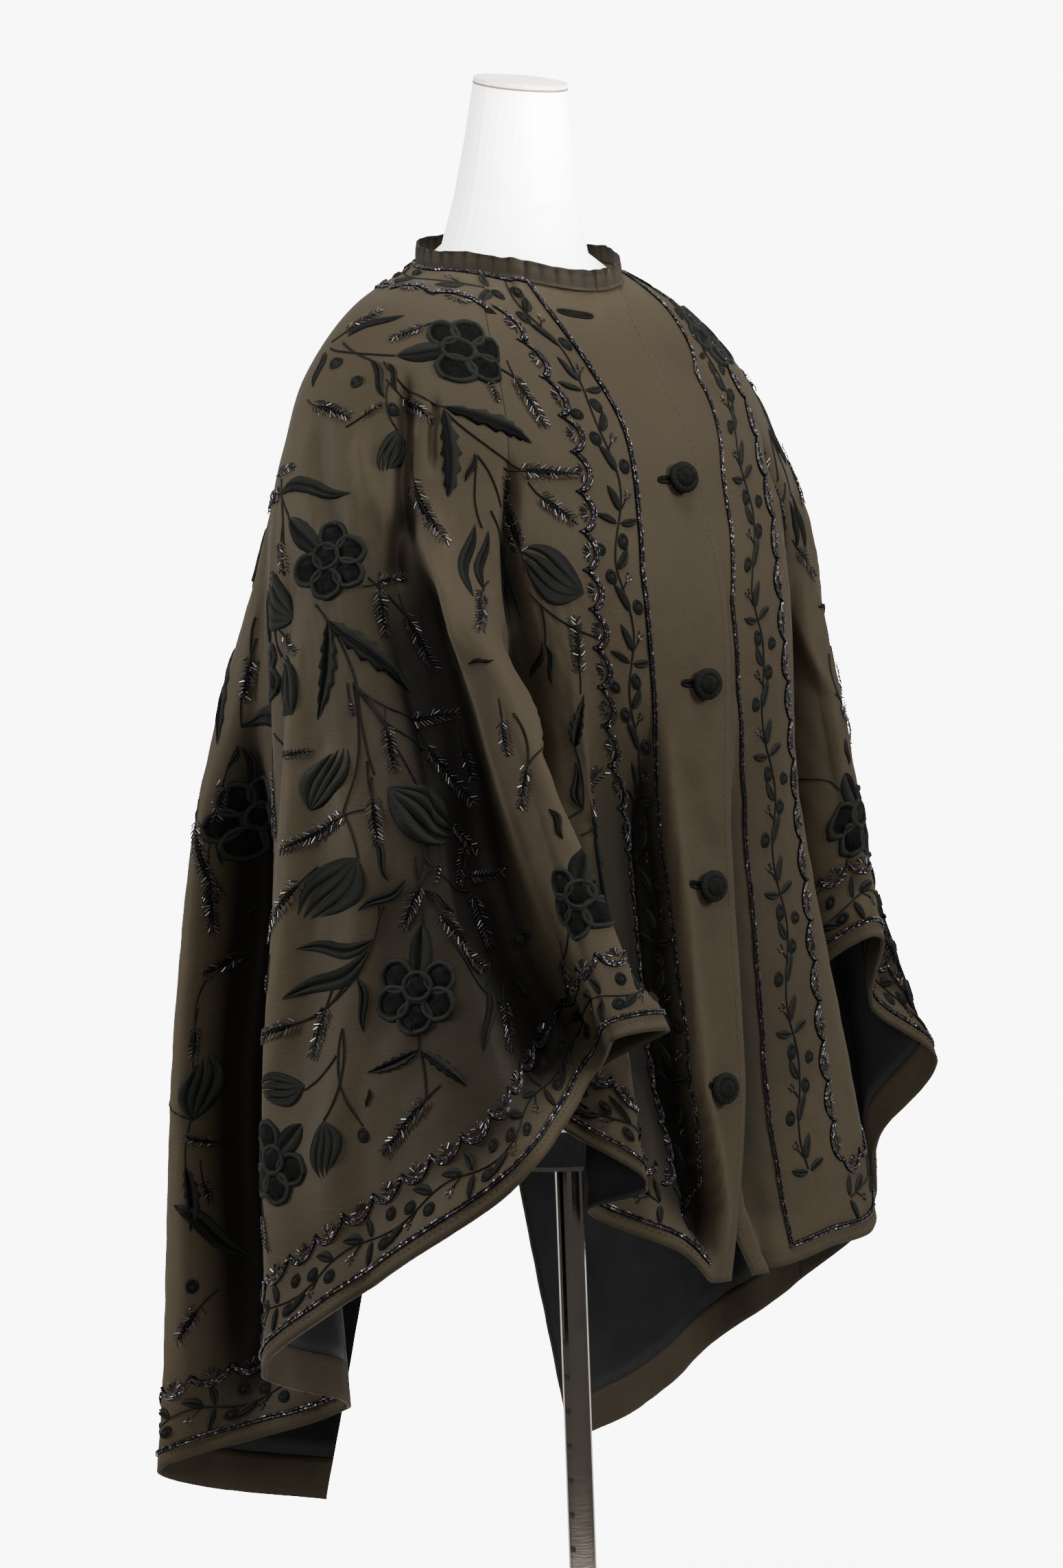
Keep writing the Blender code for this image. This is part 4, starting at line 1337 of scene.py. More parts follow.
def make_inside(half, piece, kind):
    """A hem facing, or the lining above it: the panel's surface, set in by its wall and kept inside it."""
    first, last = piece_columns(half, piece)
    i = np.arange(first, last + 1)[:, None]
    top = half.facing_top[first : last + 1, None]
    if kind == "facing":
        low, high, rows = top + FACING_GAP, 1.0, FACING_ROWS
        material, slot = silk_finish("facing_silk"), "facing_cloth"
    else:
        low, high, rows = top * LINING_SHARE, top, LINING_ROWS
        material, slot = lining_finish(), "lining_cloth"
    j = half.row(low + (high - low) * np.linspace(0, 1, rows))
    i = np.broadcast_to(i, j.shape)
    cover = half.points[first : last + 1]
    normals = half.normals[first : last + 1]
    layers = []
    for depth in (WALL + SEAM_GAP, WALL + SEAM_GAP + LINING_WALL):
        grid = keep_inside(half.at(i, j, -depth), cover, normals, depth)
        pull_back(grid, 0, 1)
        pull_back(grid, -1, -2)
        layers.append(grid)
    outer, inner = layers
    uv = cloth_map(half, first, last, outer)
    name = f"{kind}_{piece}_{half.side}"
    made = shell(f"cloth_{name}", outer, inner, [material], uv, {"lift": np.zeros(j.shape)})
    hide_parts(name)
    declare_sheet(outer)


def make_collar():
    """The pleated collar: the neck ring raised in rows, with soft pleats of uneven depth across it."""
    size = sizes()
    degrees = np.linspace(COLLAR_OPEN_DEG, 360 - COLLAR_OPEN_DEG, size.collar_pleats * COLLAR_COLUMNS + 1)
    theta = np.radians(degrees)
    lap = np.maximum(ease((36 - degrees) / 12), ease((degrees - 300) / 14))
    step = 0.001
    along = yoke_point(step, theta) - yoke_point(0.0, theta)
    around = yoke_point(0.0, theta + step) - yoke_point(0.0, theta - step)
    normal = unit(np.cross(around, along))
    out = np.stack([np.sin(theta), -np.cos(theta), np.zeros(len(theta))], axis=-1)
    normal *= np.sign(np.sum(normal * out, axis=1, keepdims=True) + normal[:, 2:])
    foot = yoke_point(0.0, theta) + normal * (LAP_RISE * 1.1 * lap)[:, None]
    phase = (degrees - COLLAR_OPEN_DEG) / (360 - 2 * COLLAR_OPEN_DEG) * size.collar_pleats
    uneven = 1 + 0.45 * soft_noise(phase * 0.37, 0.0, 5)
    fold = np.abs(np.sin(math.pi * (phase + 0.12 * soft_noise(phase * 0.5, 0.0, 6)))) ** 0.6
    share = np.linspace(-0.2, 1, COLLAR_ROWS)
    front = ease((70 - np.minimum(degrees, 360 - degrees)) / 30)[:, None]
    below = np.clip(-share, 0, 1) * front
    roll = np.sin(math.pi * np.clip(share, 0.0, 1.0)) * COLLAR_ROLL
    pleats = COLLAR_PLEAT * (fold * uneven)[:, None] * (0.35 + 0.65 * share)
    push = pleats - COLLAR_LEAN * share + roll + COLLAR_TUCK * below
    inner = foot[:, None] + out[:, None] * push[..., None]
    wave = COLLAR_WAVE * soft_noise(phase * 0.9, 0.0, 8)[:, None] * share
    inner[:, :, 2] += SEAM_GAP + size.collar_height * (np.clip(share, 0, 1) - below) + wave
    outer = inner + out[:, None] * COLLAR_WALL
    uv = np.stack(np.broadcast_arrays(chord_sums(outer, 0)[:, :1], share * size.collar_height), axis=-1)
    # The collar's lift is its pleats' push made five times deeper, so that the silk's painted shade darkens
    # the pleat hollows and the tuck.
    values = {"lift": (push - push.max()) * 5 - 0.001}
    made = shell("cloth_collar", outer, inner, [silk_finish("ribbed_silk")], uv, values)
    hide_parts("collar")
    declare_sheet(outer)


# Coordinates on the cloth


class Patch:
    """Flat coordinates on one spot: x in metres from base to tip, y to its side. Both halves mirror."""

    def __init__(self, half, base, tip):
        self.half = half
        self.base = np.asarray(base, float)
        way = np.asarray(tip, float) - self.base
        middle = self.base + way / 2
        across, down = half.steps(*middle)
        along = across * way[0] + down * way[1]
        self.length = float(np.linalg.norm(half.at(*tip) - half.at(*self.base)))
        side = unit(np.cross(np.cross(across, down), along))
        side = np.linalg.lstsq(np.stack([across, down], axis=1), side, rcond=None)[0]
        if way[0] * side[1] - way[1] * side[0] < 0:
            side = -side
        self.x_way, self.y_way = way / self.length, side

    def __call__(self, x, y, lift):
        i = self.base[0] + x * self.x_way[0] + y * self.y_way[0]
        j = self.base[1] + x * self.x_way[1] + y * self.y_way[1]
        return self.half.at(i, j, lift)


class Border:
    """Coordinates of an edge: x in metres along its bead line, y away from it over the cloth."""

    STEP = 0.002
    MARKS = 75
    LINES = 60

    def __init__(self, half, edge, inset):
        self.half, self.edge, self.inset = half, edge, inset
        self.last_row = half.points.shape[1] - 1
        line = halves()["bead_line"][half.side]
        line = np.interp(np.arange(self.last_row + 1), line[:, 1], line[:, 0])
        start = 0.0
        if edge == "front":
            self.first = int(line.min())
            grid = half.points[self.first : self.first + self.LINES].transpose(1, 0, 2)
            start = line - self.first
        elif edge == "neck":
            self.first = int(round(line[0]))
            grid = half.points[self.first :, : self.LINES]
        else:
            self.first = int(round(line[-1]))
            grid = half.points[self.first :, ::-1][:, : self.LINES]
        away = chord_sums(grid, 1)
        number = np.arange(grid.shape[1])
        starts = np.broadcast_to(start, len(grid))
        self.marks = np.arange(self.MARKS) * self.STEP
        rows = [
            np.interp(self.marks + np.interp(place, number, row), row, number)
            for place, row in zip(starts, away)
        ]
        self.table = np.array(rows)
        line = self(np.zeros(len(grid)), 0.0, 0.0, np.arange(len(grid)))
        self.along = np.concatenate([[0.0], np.cumsum(np.linalg.norm(np.diff(line, axis=0), axis=-1))])
        self.length = self.along[-1]

    def column(self, row, y):
        """Column of the front border's cloth in a row, y away from the bead line."""
        line = self.table[int(np.clip(row, 0, len(self.table) - 1))]
        return self.first + np.interp(y + self.inset, self.marks, line)

    def __call__(self, x, y, lift, a=None):
        if a is None:
            a = np.interp(x, self.along, np.arange(len(self.along)))
        a, k = np.broadcast_arrays(a, (np.asarray(y) + self.inset) / self.STEP)
        b = self.half.read(self.table[..., None], a.astype(float), k.astype(float))[..., 0]
        if self.edge == "front":
            return self.half.at(self.first + b, a, lift)
        return self.half.at(self.first + a, b if self.edge == "neck" else self.last_row - b, lift)


class Spot:
    """Coordinates of another carrier, moved to a spot and turned."""

    def __init__(self, carrier, x, y, degrees):
        self.carrier, self.x, self.y = carrier, x, y
        self.cos, self.sin = math.cos(math.radians(degrees)), math.sin(math.radians(degrees))

    def __call__(self, x, y, lift):
        return self.carrier(self.x + x * self.cos - y * self.sin, self.y + x * self.sin + y * self.cos, lift)


# Embroidery


class Pile:
    """Many small stitched shapes in one mesh."""

    def __init__(self):
        self.points, self.uv, self.tone, self.quads, self.triangles = [], [], [], [], []
        self.count = 0

    def add(self, points, uv, tone, quads, triangles=None):
        shape = points.shape[:-1]
        self.points.append(points.reshape(-1, 3))
        self.uv.append(np.stack(np.broadcast_arrays(*uv), axis=-1).reshape(-1, 2))
        self.tone.append(np.broadcast_to(tone, shape).ravel())
        self.quads.append(quads + self.count)
        if triangles is not None:
            self.triangles.append(triangles + self.count)
        self.count += len(self.points[-1])

    def build(self, name, material, slot):
        faces = [np.concatenate(self.quads)]
        if self.triangles:
            faces.append(np.concatenate(self.triangles))
        points, uv = np.concatenate(self.points), np.concatenate(self.uv)
        made = add_piece(name, points, faces, [material], uv, {"tone": np.concatenate(self.tone)})
        return made


def stitch_blade(
    pile, carrier, length, width, bend=0.0, swing=0.0, teeth=0,
    vein=0.75, height=1.35, tones=(0.35, 0.9), rows=15, lanes=9,
):
    """A satin leaf. s runs from stalk to tip and t across it.

    The edge is a sine hump cut by saw teeth, the middle line is a parabola plus a sine, and the
    height is an arch on each side of a sunk vein. The tone paints one side lit and the other in
    shade, and paints shade in the vein and towards the edges.
    """
    s = np.linspace(0, 1, rows)[:, None]
    t = np.linspace(-1, 1, lanes)[None]
    hump = np.sin(math.pi * np.clip(s, 0.015, 0.99) ** 0.8) ** 0.85
    edge = hump * width / 2 * (1 - (0.50 * (1 - (s * teeth) % 1.0) * np.abs(t) if teeth else 0.0))
    x = np.broadcast_to(s * length, (rows, lanes))
    y = length * (bend * 4 * s * (1 - s) + swing * np.sin(math.tau * s)) + t * edge
    arch = np.sqrt(np.clip(1 - t * t, 0, 1)) * (1 - vein * np.exp(-((t / 0.2) ** 2)))
    lift = sizes().satin_height * height * arch * np.minimum(1, hump * 1.6) - STITCH_SINK
    # Painted light and shade: one side lighter than the other, darker in the sunk vein and towards the edges.
    tone = tones[0] + (tones[1] - tones[0]) * ease((t + 0.25) / 0.5) - 0.9 * vein * np.exp(-((t / 0.2) ** 2))
    tone = tone * (0.6 + 0.4 * np.sqrt(np.clip(1 - t * t, 0, 1)))
    uv = (s * length - np.abs(t) * edge * 0.7, t * edge)
    pile.add(carrier(x, y, lift), uv, tone, grid_faces(rows, lanes))


def stitch_disc(pile, carrier, phi, table, edges, middle, raised, spacing):
    """A round shape: a middle point, then rings of points at angles phi with their heights and tones.

    edges are the reach along x and along y, middle is the middle point's height and tone, raised lifts the
    whole shape, and spacing is the thread's way round for each radian.
    """
    rings, heights, tones = table
    satin = sizes().satin_height
    x, y = rings * edges[0] * np.cos(phi), rings * edges[1] * np.sin(phi)
    height = satin * (heights + 0 * phi) + raised
    starts = (0, 0, satin * middle[0] + raised)
    x, y, height = (np.concatenate([[m], v.ravel()]) for m, v in zip(starts, (x, y, height)))
    shape = (len(rings), phi.shape[1])
    tone = np.concatenate([[middle[1]], np.broadcast_to(tones, shape).ravel()])
    uv = (np.concatenate([[0.0], np.broadcast_to(phi * spacing, shape).ravel()]), np.hypot(x, y))
    pile.add(carrier(x, y, height), uv, tone, *disc_faces(*shape))


def ring_table(rows, sides):
    """Angles round a disc as one row, and the columns of its table of rings."""
    return np.linspace(0, math.tau, sides, endpoint=False)[None], np.array(rows).T[..., None]


def stitch_petal(pile, carrier, radius, scallops, turn, raised):
    """A round petal: a knotted dark fill, a sunk line painted dark as shade, and a raised satin rim painted
    light, with a scalloped edge.
    """
    phi, (rings, heights, tones) = ring_table(PETAL_RINGS, PETAL_SIDES)
    edge = radius * (1 + 0.075 * (np.abs(np.sin(phi * scallops / 2 + turn)) - 0.5) * rings**3)
    knots = 0.10 * np.sin(phi * 9) * np.sin(rings * 40) * (rings < 0.6)
    table = rings, heights + knots, tones
    stitch_disc(pile, carrier, phi, table, (edge, edge), PETAL_MIDDLE, raised, radius * 0.8)


def stitch_flower(pile, carrier, radius, tube):
    """A trumpet flower: petals round a mouth, and a two-sided tube along x that ends in a point."""
    stitch_blade(pile, Spot(carrier, tube, 0.0, 180), tube, radius * 0.62, tones=(0.3, 0.95), rows=14)
    for number in range(5):
        angle = 60 + 60 * number
        turn = math.radians(angle)
        spot = Spot(carrier, radius * 0.60 * math.cos(turn), radius * 0.60 * math.sin(turn), angle)
        stitch_petal(pile, spot, radius * 0.43, 7, number, 0.0003 * (number % 2))
    stitch_petal(pile, Spot(carrier, radius * 0.10, 0.0, 0), radius * 0.38, 2, 0.5, 0.0009)


def stitch_berry(pile, carrier, length, width):
    """A round or oval berry: a raised coil round a knot, both painted lighter than the sunk ring between
    them, which is painted dark as shade.
    """
    phi, table = ring_table(BERRY_RINGS, BERRY_SIDES)
    stitch_disc(pile, carrier, phi, table, (width / 2, length / 2), BERRY_MIDDLE, 0.0, 0.006)


def stitch_line(pile, carrier, x, y, width, tone=0.5, height=0.0009):
    """A half-round cord of stem stitch along the path x, y."""
    way = unit(np.stack([np.gradient(x), np.gradient(y)], axis=-1))
    t = np.array((-1.0, -0.55, 0.55, 1.0))[None]
    lift = np.array((-STITCH_SINK, height, height, -STITCH_SINK))[None] + 0 * x[:, None]
    across_x = x[:, None] - way[:, 1:] * t * width / 2
    across_y = y[:, None] + way[:, :1] * t * width / 2
    run = np.concatenate([[0.0], np.cumsum(np.hypot(np.diff(x), np.diff(y)))])[:, None]
    uv = (run + t * width * 0.6, t * width + 0 * run)
    # The tone paints one side of the cord lighter than the other.
    pile.add(carrier(across_x, across_y, lift), uv, tone + 0.15 * t, grid_faces(len(x), 4))


def stitch_bud(pile, carrier, length):
    """A folded bud: four padded lips side by side that meet at the stalk and at the tip."""
    for bend, share, wide in BUD_LIPS:
        lip = Spot(carrier, 0.0, 0.0, bend * 20)
        stitch_blade(pile, lip, length * share, length * wide, bend, 0.03, vein=0.0, tones=(0.5, 1.0))


# Beads


class Beads:
    """Many cut beads in one mesh. Each is a five-sided rod with pointed ends."""

    SIDES = 5

    def __init__(self, seed):
        self.rng = np.random.default_rng(seed)
        self.centres, self.ways, self.ups, self.lengths, self.radii = [], [], [], [], []

    def add(self, carrier, x, y, degrees, length, radius, lift=None, jitter=9.0):
        """Beads at x, y that point along degrees."""
        x, y, degrees = (np.array(v, float) for v in np.broadcast_arrays(x, y, degrees))
        angle = np.radians(degrees + self.rng.normal(0, jitter, x.shape))
        lift = radius * 1.15 if lift is None else lift
        height = lift + self.rng.uniform(0, radius * 0.8, x.shape)
        centre = carrier(x, y, height)
        ahead = carrier(x + 0.001 * np.cos(angle), y + 0.001 * np.sin(angle), height)
        above = carrier(x, y, height + 0.001)
        self.centres.append(centre)
        self.ways.append(unit(ahead - centre + self.rng.normal(0, 0.00012, centre.shape)))
        self.ups.append(unit(above - centre))
        self.lengths.append(length * self.rng.uniform(0.88, 1.08, x.shape))
        self.radii.append(np.full(x.shape, radius))

    def build(self, name, material, value="tint"):
        """Every bead at once: end point, two rings, end point, with a seeded tint and roll for each."""
        centre, way, up = (np.concatenate(part) for part in (self.centres, self.ways, self.ups))
        length, radius = np.concatenate(self.lengths), np.concatenate(self.radii)
        side = unit(np.cross(up, way))
        up = np.cross(way, side)
        count, n = len(centre), self.SIDES
        roll = self.rng.uniform(0, math.tau, (count, 1)) + np.arange(n) / n * math.tau
        ring = side[:, None] * np.cos(roll)[..., None] + up[:, None] * np.sin(roll)[..., None]
        ring = ring * radius[:, None, None]
        half = way * (length / 2)[:, None]
        points = np.concatenate(
            [
                (centre - half)[:, None],
                centre[:, None] - 0.72 * half[:, None] + ring,
                centre[:, None] + 0.72 * half[:, None] + ring,
                (centre + half)[:, None],
            ],
            axis=1,
        )
        turn, after = np.arange(n), (np.arange(n) + 1) % n
        last = 2 * n + 1
        shape = np.concatenate(
            [
                np.stack([0 * turn, 1 + after, 1 + turn], axis=1),
                np.stack([1 + turn, 1 + after, 1 + n + after], axis=1),
                np.stack([1 + turn, 1 + n + after, 1 + n + turn], axis=1),
                np.stack([1 + n + turn, 1 + n + after, 0 * turn + last], axis=1),
            ]
        )
        size = last + 1
        faces = (np.arange(count)[:, None, None] * size + shape).reshape(-1, 3)
        tint = np.repeat(self.rng.uniform(0, 1, count), size)
        uv = np.tile(np.linspace(0, 0.003, size)[:, None], (count, 2))
        made = add_piece(name, points.reshape(-1, 3), [faces], [material], uv, {value: tint})
        made.data.shade_flat()
        return made


def bead_rows(pile, beads, carrier, length):
    """Two rows of beads end to end along x, on a dark cord."""
    size = sizes()
    x = np.arange(0.001, length, size.bead_length * 0.92)
    stitch_line(pile, carrier, x, np.full(x.shape, 0.0010), 0.0052, tone=0.0, height=0.0005)
    for number, offset in enumerate((0.0, 0.0021)):
        lane = np.full(x.shape, offset)
        radius = size.bead_radius * 1.6
        beads.add(carrier, x + number * 0.0011, lane, 0.0, size.bead_length, radius, 0.0010, 5.0)


def bead_scallops(pile, beads, carrier, length, width):
    """Arcs that bulge to the bead line, with a fan in each: y is the width less a rounded sine."""
    size = sizes()
    repeats = max(1, round(length / SCALLOP_REPEAT))
    x = np.linspace(0.0, length, int(length / 0.0016))
    wave = np.abs(np.sin(math.pi * repeats * x / length)) ** 0.55
    y = width - SCALLOP_DEPTH * wave
    slope = np.degrees(np.arctan2(np.gradient(y), np.gradient(x)))
    stitch_line(pile, carrier, x, y + 0.0014, 0.0056, tone=0.0, height=0.0006)
    for row in range(3):
        keep = wave > (0.0, 0.0, 0.5)[row]
        lane = y[keep] + 0.0016 * row
        beads.add(carrier, x[keep], lane, slope[keep], size.bead_length, size.bead_radius * 1.35, 0.0010)
    middle = (np.arange(repeats) + 0.5) * length / repeats
    turns = np.array((30, 54, 78, 102, 126, 150))
    fan_x = middle[:, None] + 0.0058 * np.cos(np.radians(turns))
    fan_y = width - SCALLOP_DEPTH + 0.0052 + 0.0058 * np.sin(np.radians(turns)) + 0 * fan_x
    fan_turn = np.tile(turns, repeats)
    beads.add(carrier, fan_x.ravel(), fan_y.ravel(), fan_turn, 0.0062, size.bead_radius * 1.4)


def bead_ear(pile, beads, carrier, length):
    """A wheat ear: long slanted beads that stand apart on both sides of a stalk, over a dark vein."""
    size = sizes()
    wide = min(0.0135, length * 0.42)
    vein = {"vein": 0.0, "height": 0.5, "tones": (0.0, 0.15), "rows": 12, "lanes": 5}
    stitch_blade(pile, carrier, length * 1.02, wide * 0.42, **vein)
    s = np.arange(0.04, 1.0, 0.0029 / max(length, 0.008))
    swell = 1.0 - 0.4 * s**2
    for side in (-1, 1):
        lane = side * wide * 0.27 * swell
        beads.add(carrier, s * length, lane, side * 46, wide * 0.5, size.bead_radius * 1.15, 0.0013)
    beads.add(carrier, np.array([length]), np.array([0.0]), 0.0, wide * 0.4, size.bead_radius, 0.0006)


def bead_sprig(beads, carrier, length):
    """A small bud of five beads on a stalk."""
    size = sizes()
    x = length * np.array((0.45, 0.62, 0.62, 0.82, 0.82))
    y = np.array((0.0, 0.0016, -0.0016, 0.0019, -0.0019))
    turn = np.array((0.0, 24.0, -24.0, 20.0, -20.0))
    beads.add(carrier, x, y, turn, size.bead_length * 1.25, size.bead_radius * 1.15)


def grow_vine(pile, beads, border, length, width, backward):
    """Repeats of the vine in the middle of a border. On the fronts it grows up, along -x."""
    size = sizes()
    middle = (width - SCALLOP_DEPTH) / 2 + 0.001
    repeats = max(1, int(length / VINE_REPEAT))
    repeat = length / repeats
    x = np.linspace(0.002, length - 0.002, repeats * 16)
    wave = VINE_WAVE * np.sin(math.tau * x / repeat)
    stitch_line(pile, border, x, middle + wave, size.stalk_width * 0.85)
    for number in range(repeats):
        for kind, along, off, turn, long, wide in VINE:
            along = along * repeat / VINE_REPEAT + number * repeat
            along = length - along if backward else along
            off = off + VINE_WAVE * math.sin(math.tau * along / repeat)
            spot = Spot(border, along, middle + off, 180 - turn if backward else turn)
            if kind == "leaf":
                stitch_blade(pile, spot, long, wide, bend=0.06, tones=(0.7, 1.0), rows=10, lanes=7)
            elif kind == "berry":
                stitch_berry(pile, spot, long, wide)
            else:
                bead_sprig(beads, spot, long)
                stitch_line(pile, spot, np.linspace(0, long * 0.5, 4), np.zeros(4), size.stalk_width * 0.7)


def place_motif(pile, beads, half, kind, base, tip):
    """One motif of the field on its spot of cloth."""
    patch = Patch(half, base, tip)
    length = float(np.clip(patch.length, 0.008, 0.095))
    if kind == "flower":
        stitch_flower(pile, patch, sizes().flower_radius, max(length, sizes().flower_radius * 1.25))
    elif kind == "split_leaf":
        split = {"teeth": 6, "rows": 25, "lanes": 11, "tones": (0.15, 1.0)}
        stitch_blade(pile, patch, length, length * 0.27, bend=0.05, **split)
    elif kind == "slim_leaf":
        stitch_blade(pile, patch, length, length * 0.19, bend=0.05, swing=0.05, tones=(0.45, 0.85))
    elif kind == "bud":
        stitch_bud(pile, patch, length)
    elif kind == "berry":
        stitch_berry(pile, patch, 0.011, 0.012)
    else:
        x = np.linspace(-0.016, length, 16)
        stitch_line(pile, patch, x, 7.0 * np.minimum(x, 0.0) ** 2, sizes().stalk_width * 0.7)
        bead_ear(pile, beads, patch, length)


def place_stalk(pile, half, base, tip, bulge):
    """A line of stem stitch between two spots, bowed by a parabola."""
    patch = Patch(half, base, tip)
    s = np.linspace(0, 1, max(6, int(patch.length / 0.004)))
    stitch_line(pile, patch, s * patch.length, patch.length * bulge * 4 * s * (1 - s), sizes().stalk_width)


def work_half(half, anchors, stalks):
    """All the embroidery and beads of one half: borders, then the field."""
    border_pile, field_pile = Pile(), Pile()
    border_beads, field_beads = (Beads(seed) for seed in BEAD_SEEDS[half.side])
    width = sizes().border_width
    widths = {"front": width * FRONT_BORDER[half.side], "neck": width * NECK_BORDER, "hem": width}
    starts = {"front": widths["neck"], "neck": widths["front"] * NECK_SPREAD, "hem": widths["front"]}
    for edge, inset, backward in BORDERS:
        border = Border(half, edge, inset)
        length = border.length - (HEM_INSET if edge == "front" else 0.004)
        bead_rows(border_pile, border_beads, border, length)
        start = starts[edge]
        reach = length - start - (widths["hem"] if edge == "front" else 0.0)
        shifted = Spot(border, start, 0.0, 0)
        bead_scallops(border_pile, border_beads, shifted, reach, widths[edge])
        early = start - VINE_START if edge == "front" else 0.0
        vine = Spot(border, start - early, 0.0, 0)
        grow_vine(border_pile, border_beads, vine, reach + early, widths[edge], backward)
    front = Border(half, "front", 0.0)
    clear = widths["front"] + FIELD_MARGIN[half.side]

    def on_field(*ends):
        return all(end[0] > front.column(end[1], clear) for end in ends)

    for row, base, tip in zip(PHOTO_MOTIFS, anchors, anchors[len(PHOTO_MOTIFS) :]):
        if on_field(base, tip):
            place_motif(field_pile, field_beads, half, row[0], base, tip)
    for row, base, tip in zip(PHOTO_STALKS, stalks, stalks[len(PHOTO_STALKS) :]):
        if on_field(base, tip):
            place_stalk(field_pile, half, base, tip, row[4])
    for kind, *ends in BACK_MOTIFS:
        place_motif(field_pile, field_beads, half, kind, half.spot(*ends[:2]), half.spot(*ends[2:]))
    for *ends, bulge in BACK_STALKS:
        place_stalk(field_pile, half, half.spot(*ends[:2]), half.spot(*ends[2:]), bulge)
    border_pile.build(f"border_stitches_{half.side}", thread_finish(), "button_silk")
    field_pile.build(f"field_stitches_{half.side}", thread_finish(), "button_silk")
    border_beads.build(f"border_beads_{half.side}", bead_finish())
    field_beads.build(f"field_beads_{half.side}", bead_finish())


# Buttons, sewing and stand


def centre_front(height):
    """Column and row of the right front's middle line at a height."""
    half = halves()["right"]
    i = float(half.column(CUT["front_centre"]))
    line = half.points[int(round(i)), :, 2]
    return half, i, float(np.interp(-height, -line, np.arange(len(line))))


def make_button(number, height):
    """A covered button: a domed rim, a ring of knots and a raised middle, tilted off the cloth's normal."""
    half, i, j = centre_front(height)
    seat = half.at(i, j)
    normal = unit(half.at(i, j, 0.001) - seat)
    axis = unit(normal + np.array((-BUTTON_FLOP, 0.0, 0.0)))
    across = unit(np.cross((0.0, 0.0, 1.0), axis))
    frame_rows = np.stack([across, np.cross(axis, across), axis])
    r = sizes().button_radius
    sides = 60
    phi = np.linspace(0, math.tau, sides, endpoint=False)[None]
    profile = np.array(BUTTON_PROFILE)
    ring, height_mm = profile[:, :1], profile[:, 1:]
    knots = 0.75 * np.clip(np.cos(phi * 14), 0, 1) ** 2 * np.exp(-(((ring - 0.73) / 0.09) ** 2))
    wraps = 0.10 * np.cos(phi * 30) * (ring > 0.8)
    z = (height_mm + knots + wraps) * 0.001
    x, y = ring * r * np.cos(phi), ring * r * np.sin(phi)
    shape = np.stack([x, y, z], axis=-1).reshape(-1, 3)
    shape = np.concatenate([[(0.0, 0.0, BUTTON_TOP)], shape])
    points = seat + normal * (BUTTON_SEAT + BUTTON_RAISE * r * BUTTON_FLOP) + shape @ frame_rows
    quads, triangles = disc_faces(len(profile), sides)
    base = np.arange(1 + (len(profile) - 1) * sides, 1 + len(profile) * sides)[::-1][None]
    groove = 0.35 * np.exp(-(((ring - 0.60) / 0.05) ** 2))
    # Painted light and shade: the raised knots are lighter and the groove inside them darker.
    tone = np.concatenate([[0.55], (0.45 + 0.6 * knots - groove).ravel()])
    spread = np.stack(np.broadcast_arrays(phi * r * 0.8, ring * r), axis=-1).reshape(-1, 2)
    uv = np.concatenate([[(0.0, 0.0)], spread])
    name = f"covered_button_{number}"
    made = add_piece(name, points, [quads, triangles, base], [thread_finish()], uv, {"tone": tone})
    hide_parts(f"button_{number}")


def make_buttonholes():
    """Worked buttonholes beside each button and at the neck: a rounded lip round a slit painted dark as its
    shadow.
    """
    pile = Pile()
    half = halves()["right"]
    for height, start, end in (*((height, *BUTTONHOLE) for height in BUTTON_HEIGHTS), NECK_HOLE):
        _, i, j = centre_front(height)
        patch = Patch(half, (i, j), (i + 6, j))
        phi = np.linspace(0, math.tau, 40)
        x = (start + end) / 2 + (end - start) / 2 * np.sign(np.cos(phi)) * np.abs(np.cos(phi)) ** 0.7
        y = 0.0022 * np.sin(phi)
        stitch_line(pile, patch, x, y, 0.0026, tone=0.32, height=0.0010)
        # The slit is a flat line at the darkest tone: a painted shadow of the opening.
        stitch_line(pile, patch, np.linspace(start, end, 10), np.zeros(10), 0.0020, tone=0.0, height=0.0002)
    pile.build("buttonhole_stitches", thread_finish(), "button_silk")


def make_sewing():
    """Running stitches along the hems and the front edges."""
    stitches = Beads(71)
    for side in FOLDS:
        half = halves()[side]
        hem = Border(half, "hem", RUNNING_INSET)
        x = np.arange(0.004, hem.length, RUNNING_STEP)
        stitches.add(hem, x, np.zeros(x.shape), 0.0, RUNNING_LENGTH, RUNNING_RADIUS, lift=0.0, jitter=3.0)
        rows = np.arange(4, half.points.shape[1] - 2, 0.9)
        columns = np.full(rows.shape, 1.3)
        edge = half.at(columns, rows)
        stitches.centres.append(edge)
        stitches.ways.append(unit(half.at(columns, rows + 0.1) - edge))
        stitches.ups.append(unit(half.at(columns, rows, 0.001) - edge))
        stitches.lengths.append(np.full(rows.shape, RUNNING_LENGTH))
        stitches.radii.append(np.full(rows.shape, RUNNING_RADIUS))
    made = stitches.build("running_stitches", silk_finish("ribbed_silk"), "tone")


def ring_band(centre, radii, heights, sides=64):
    """Points and faces of a band turned round Z: one ring for each radius and height."""
    turn = np.linspace(0, math.tau, sides, endpoint=False)[None]
    radii, heights = np.array(radii)[:, None], np.array(heights)[:, None]
    x, y = radii * np.cos(turn), radii * np.sin(turn)
    points = np.stack(np.broadcast_arrays(x, y, heights), axis=-1).reshape(-1, 3) + centre
    ring, side = np.meshgrid(np.arange(len(radii)), np.arange(sides), indexing="ij")
    after_ring, after = (ring + 1) % len(radii), (side + 1) % sides
    here, there = ring * sides, after_ring * sides
    corners = [here + side, here + after, there + after, there + side]
    return points, np.stack(corners, axis=-1).reshape(-1, 4)


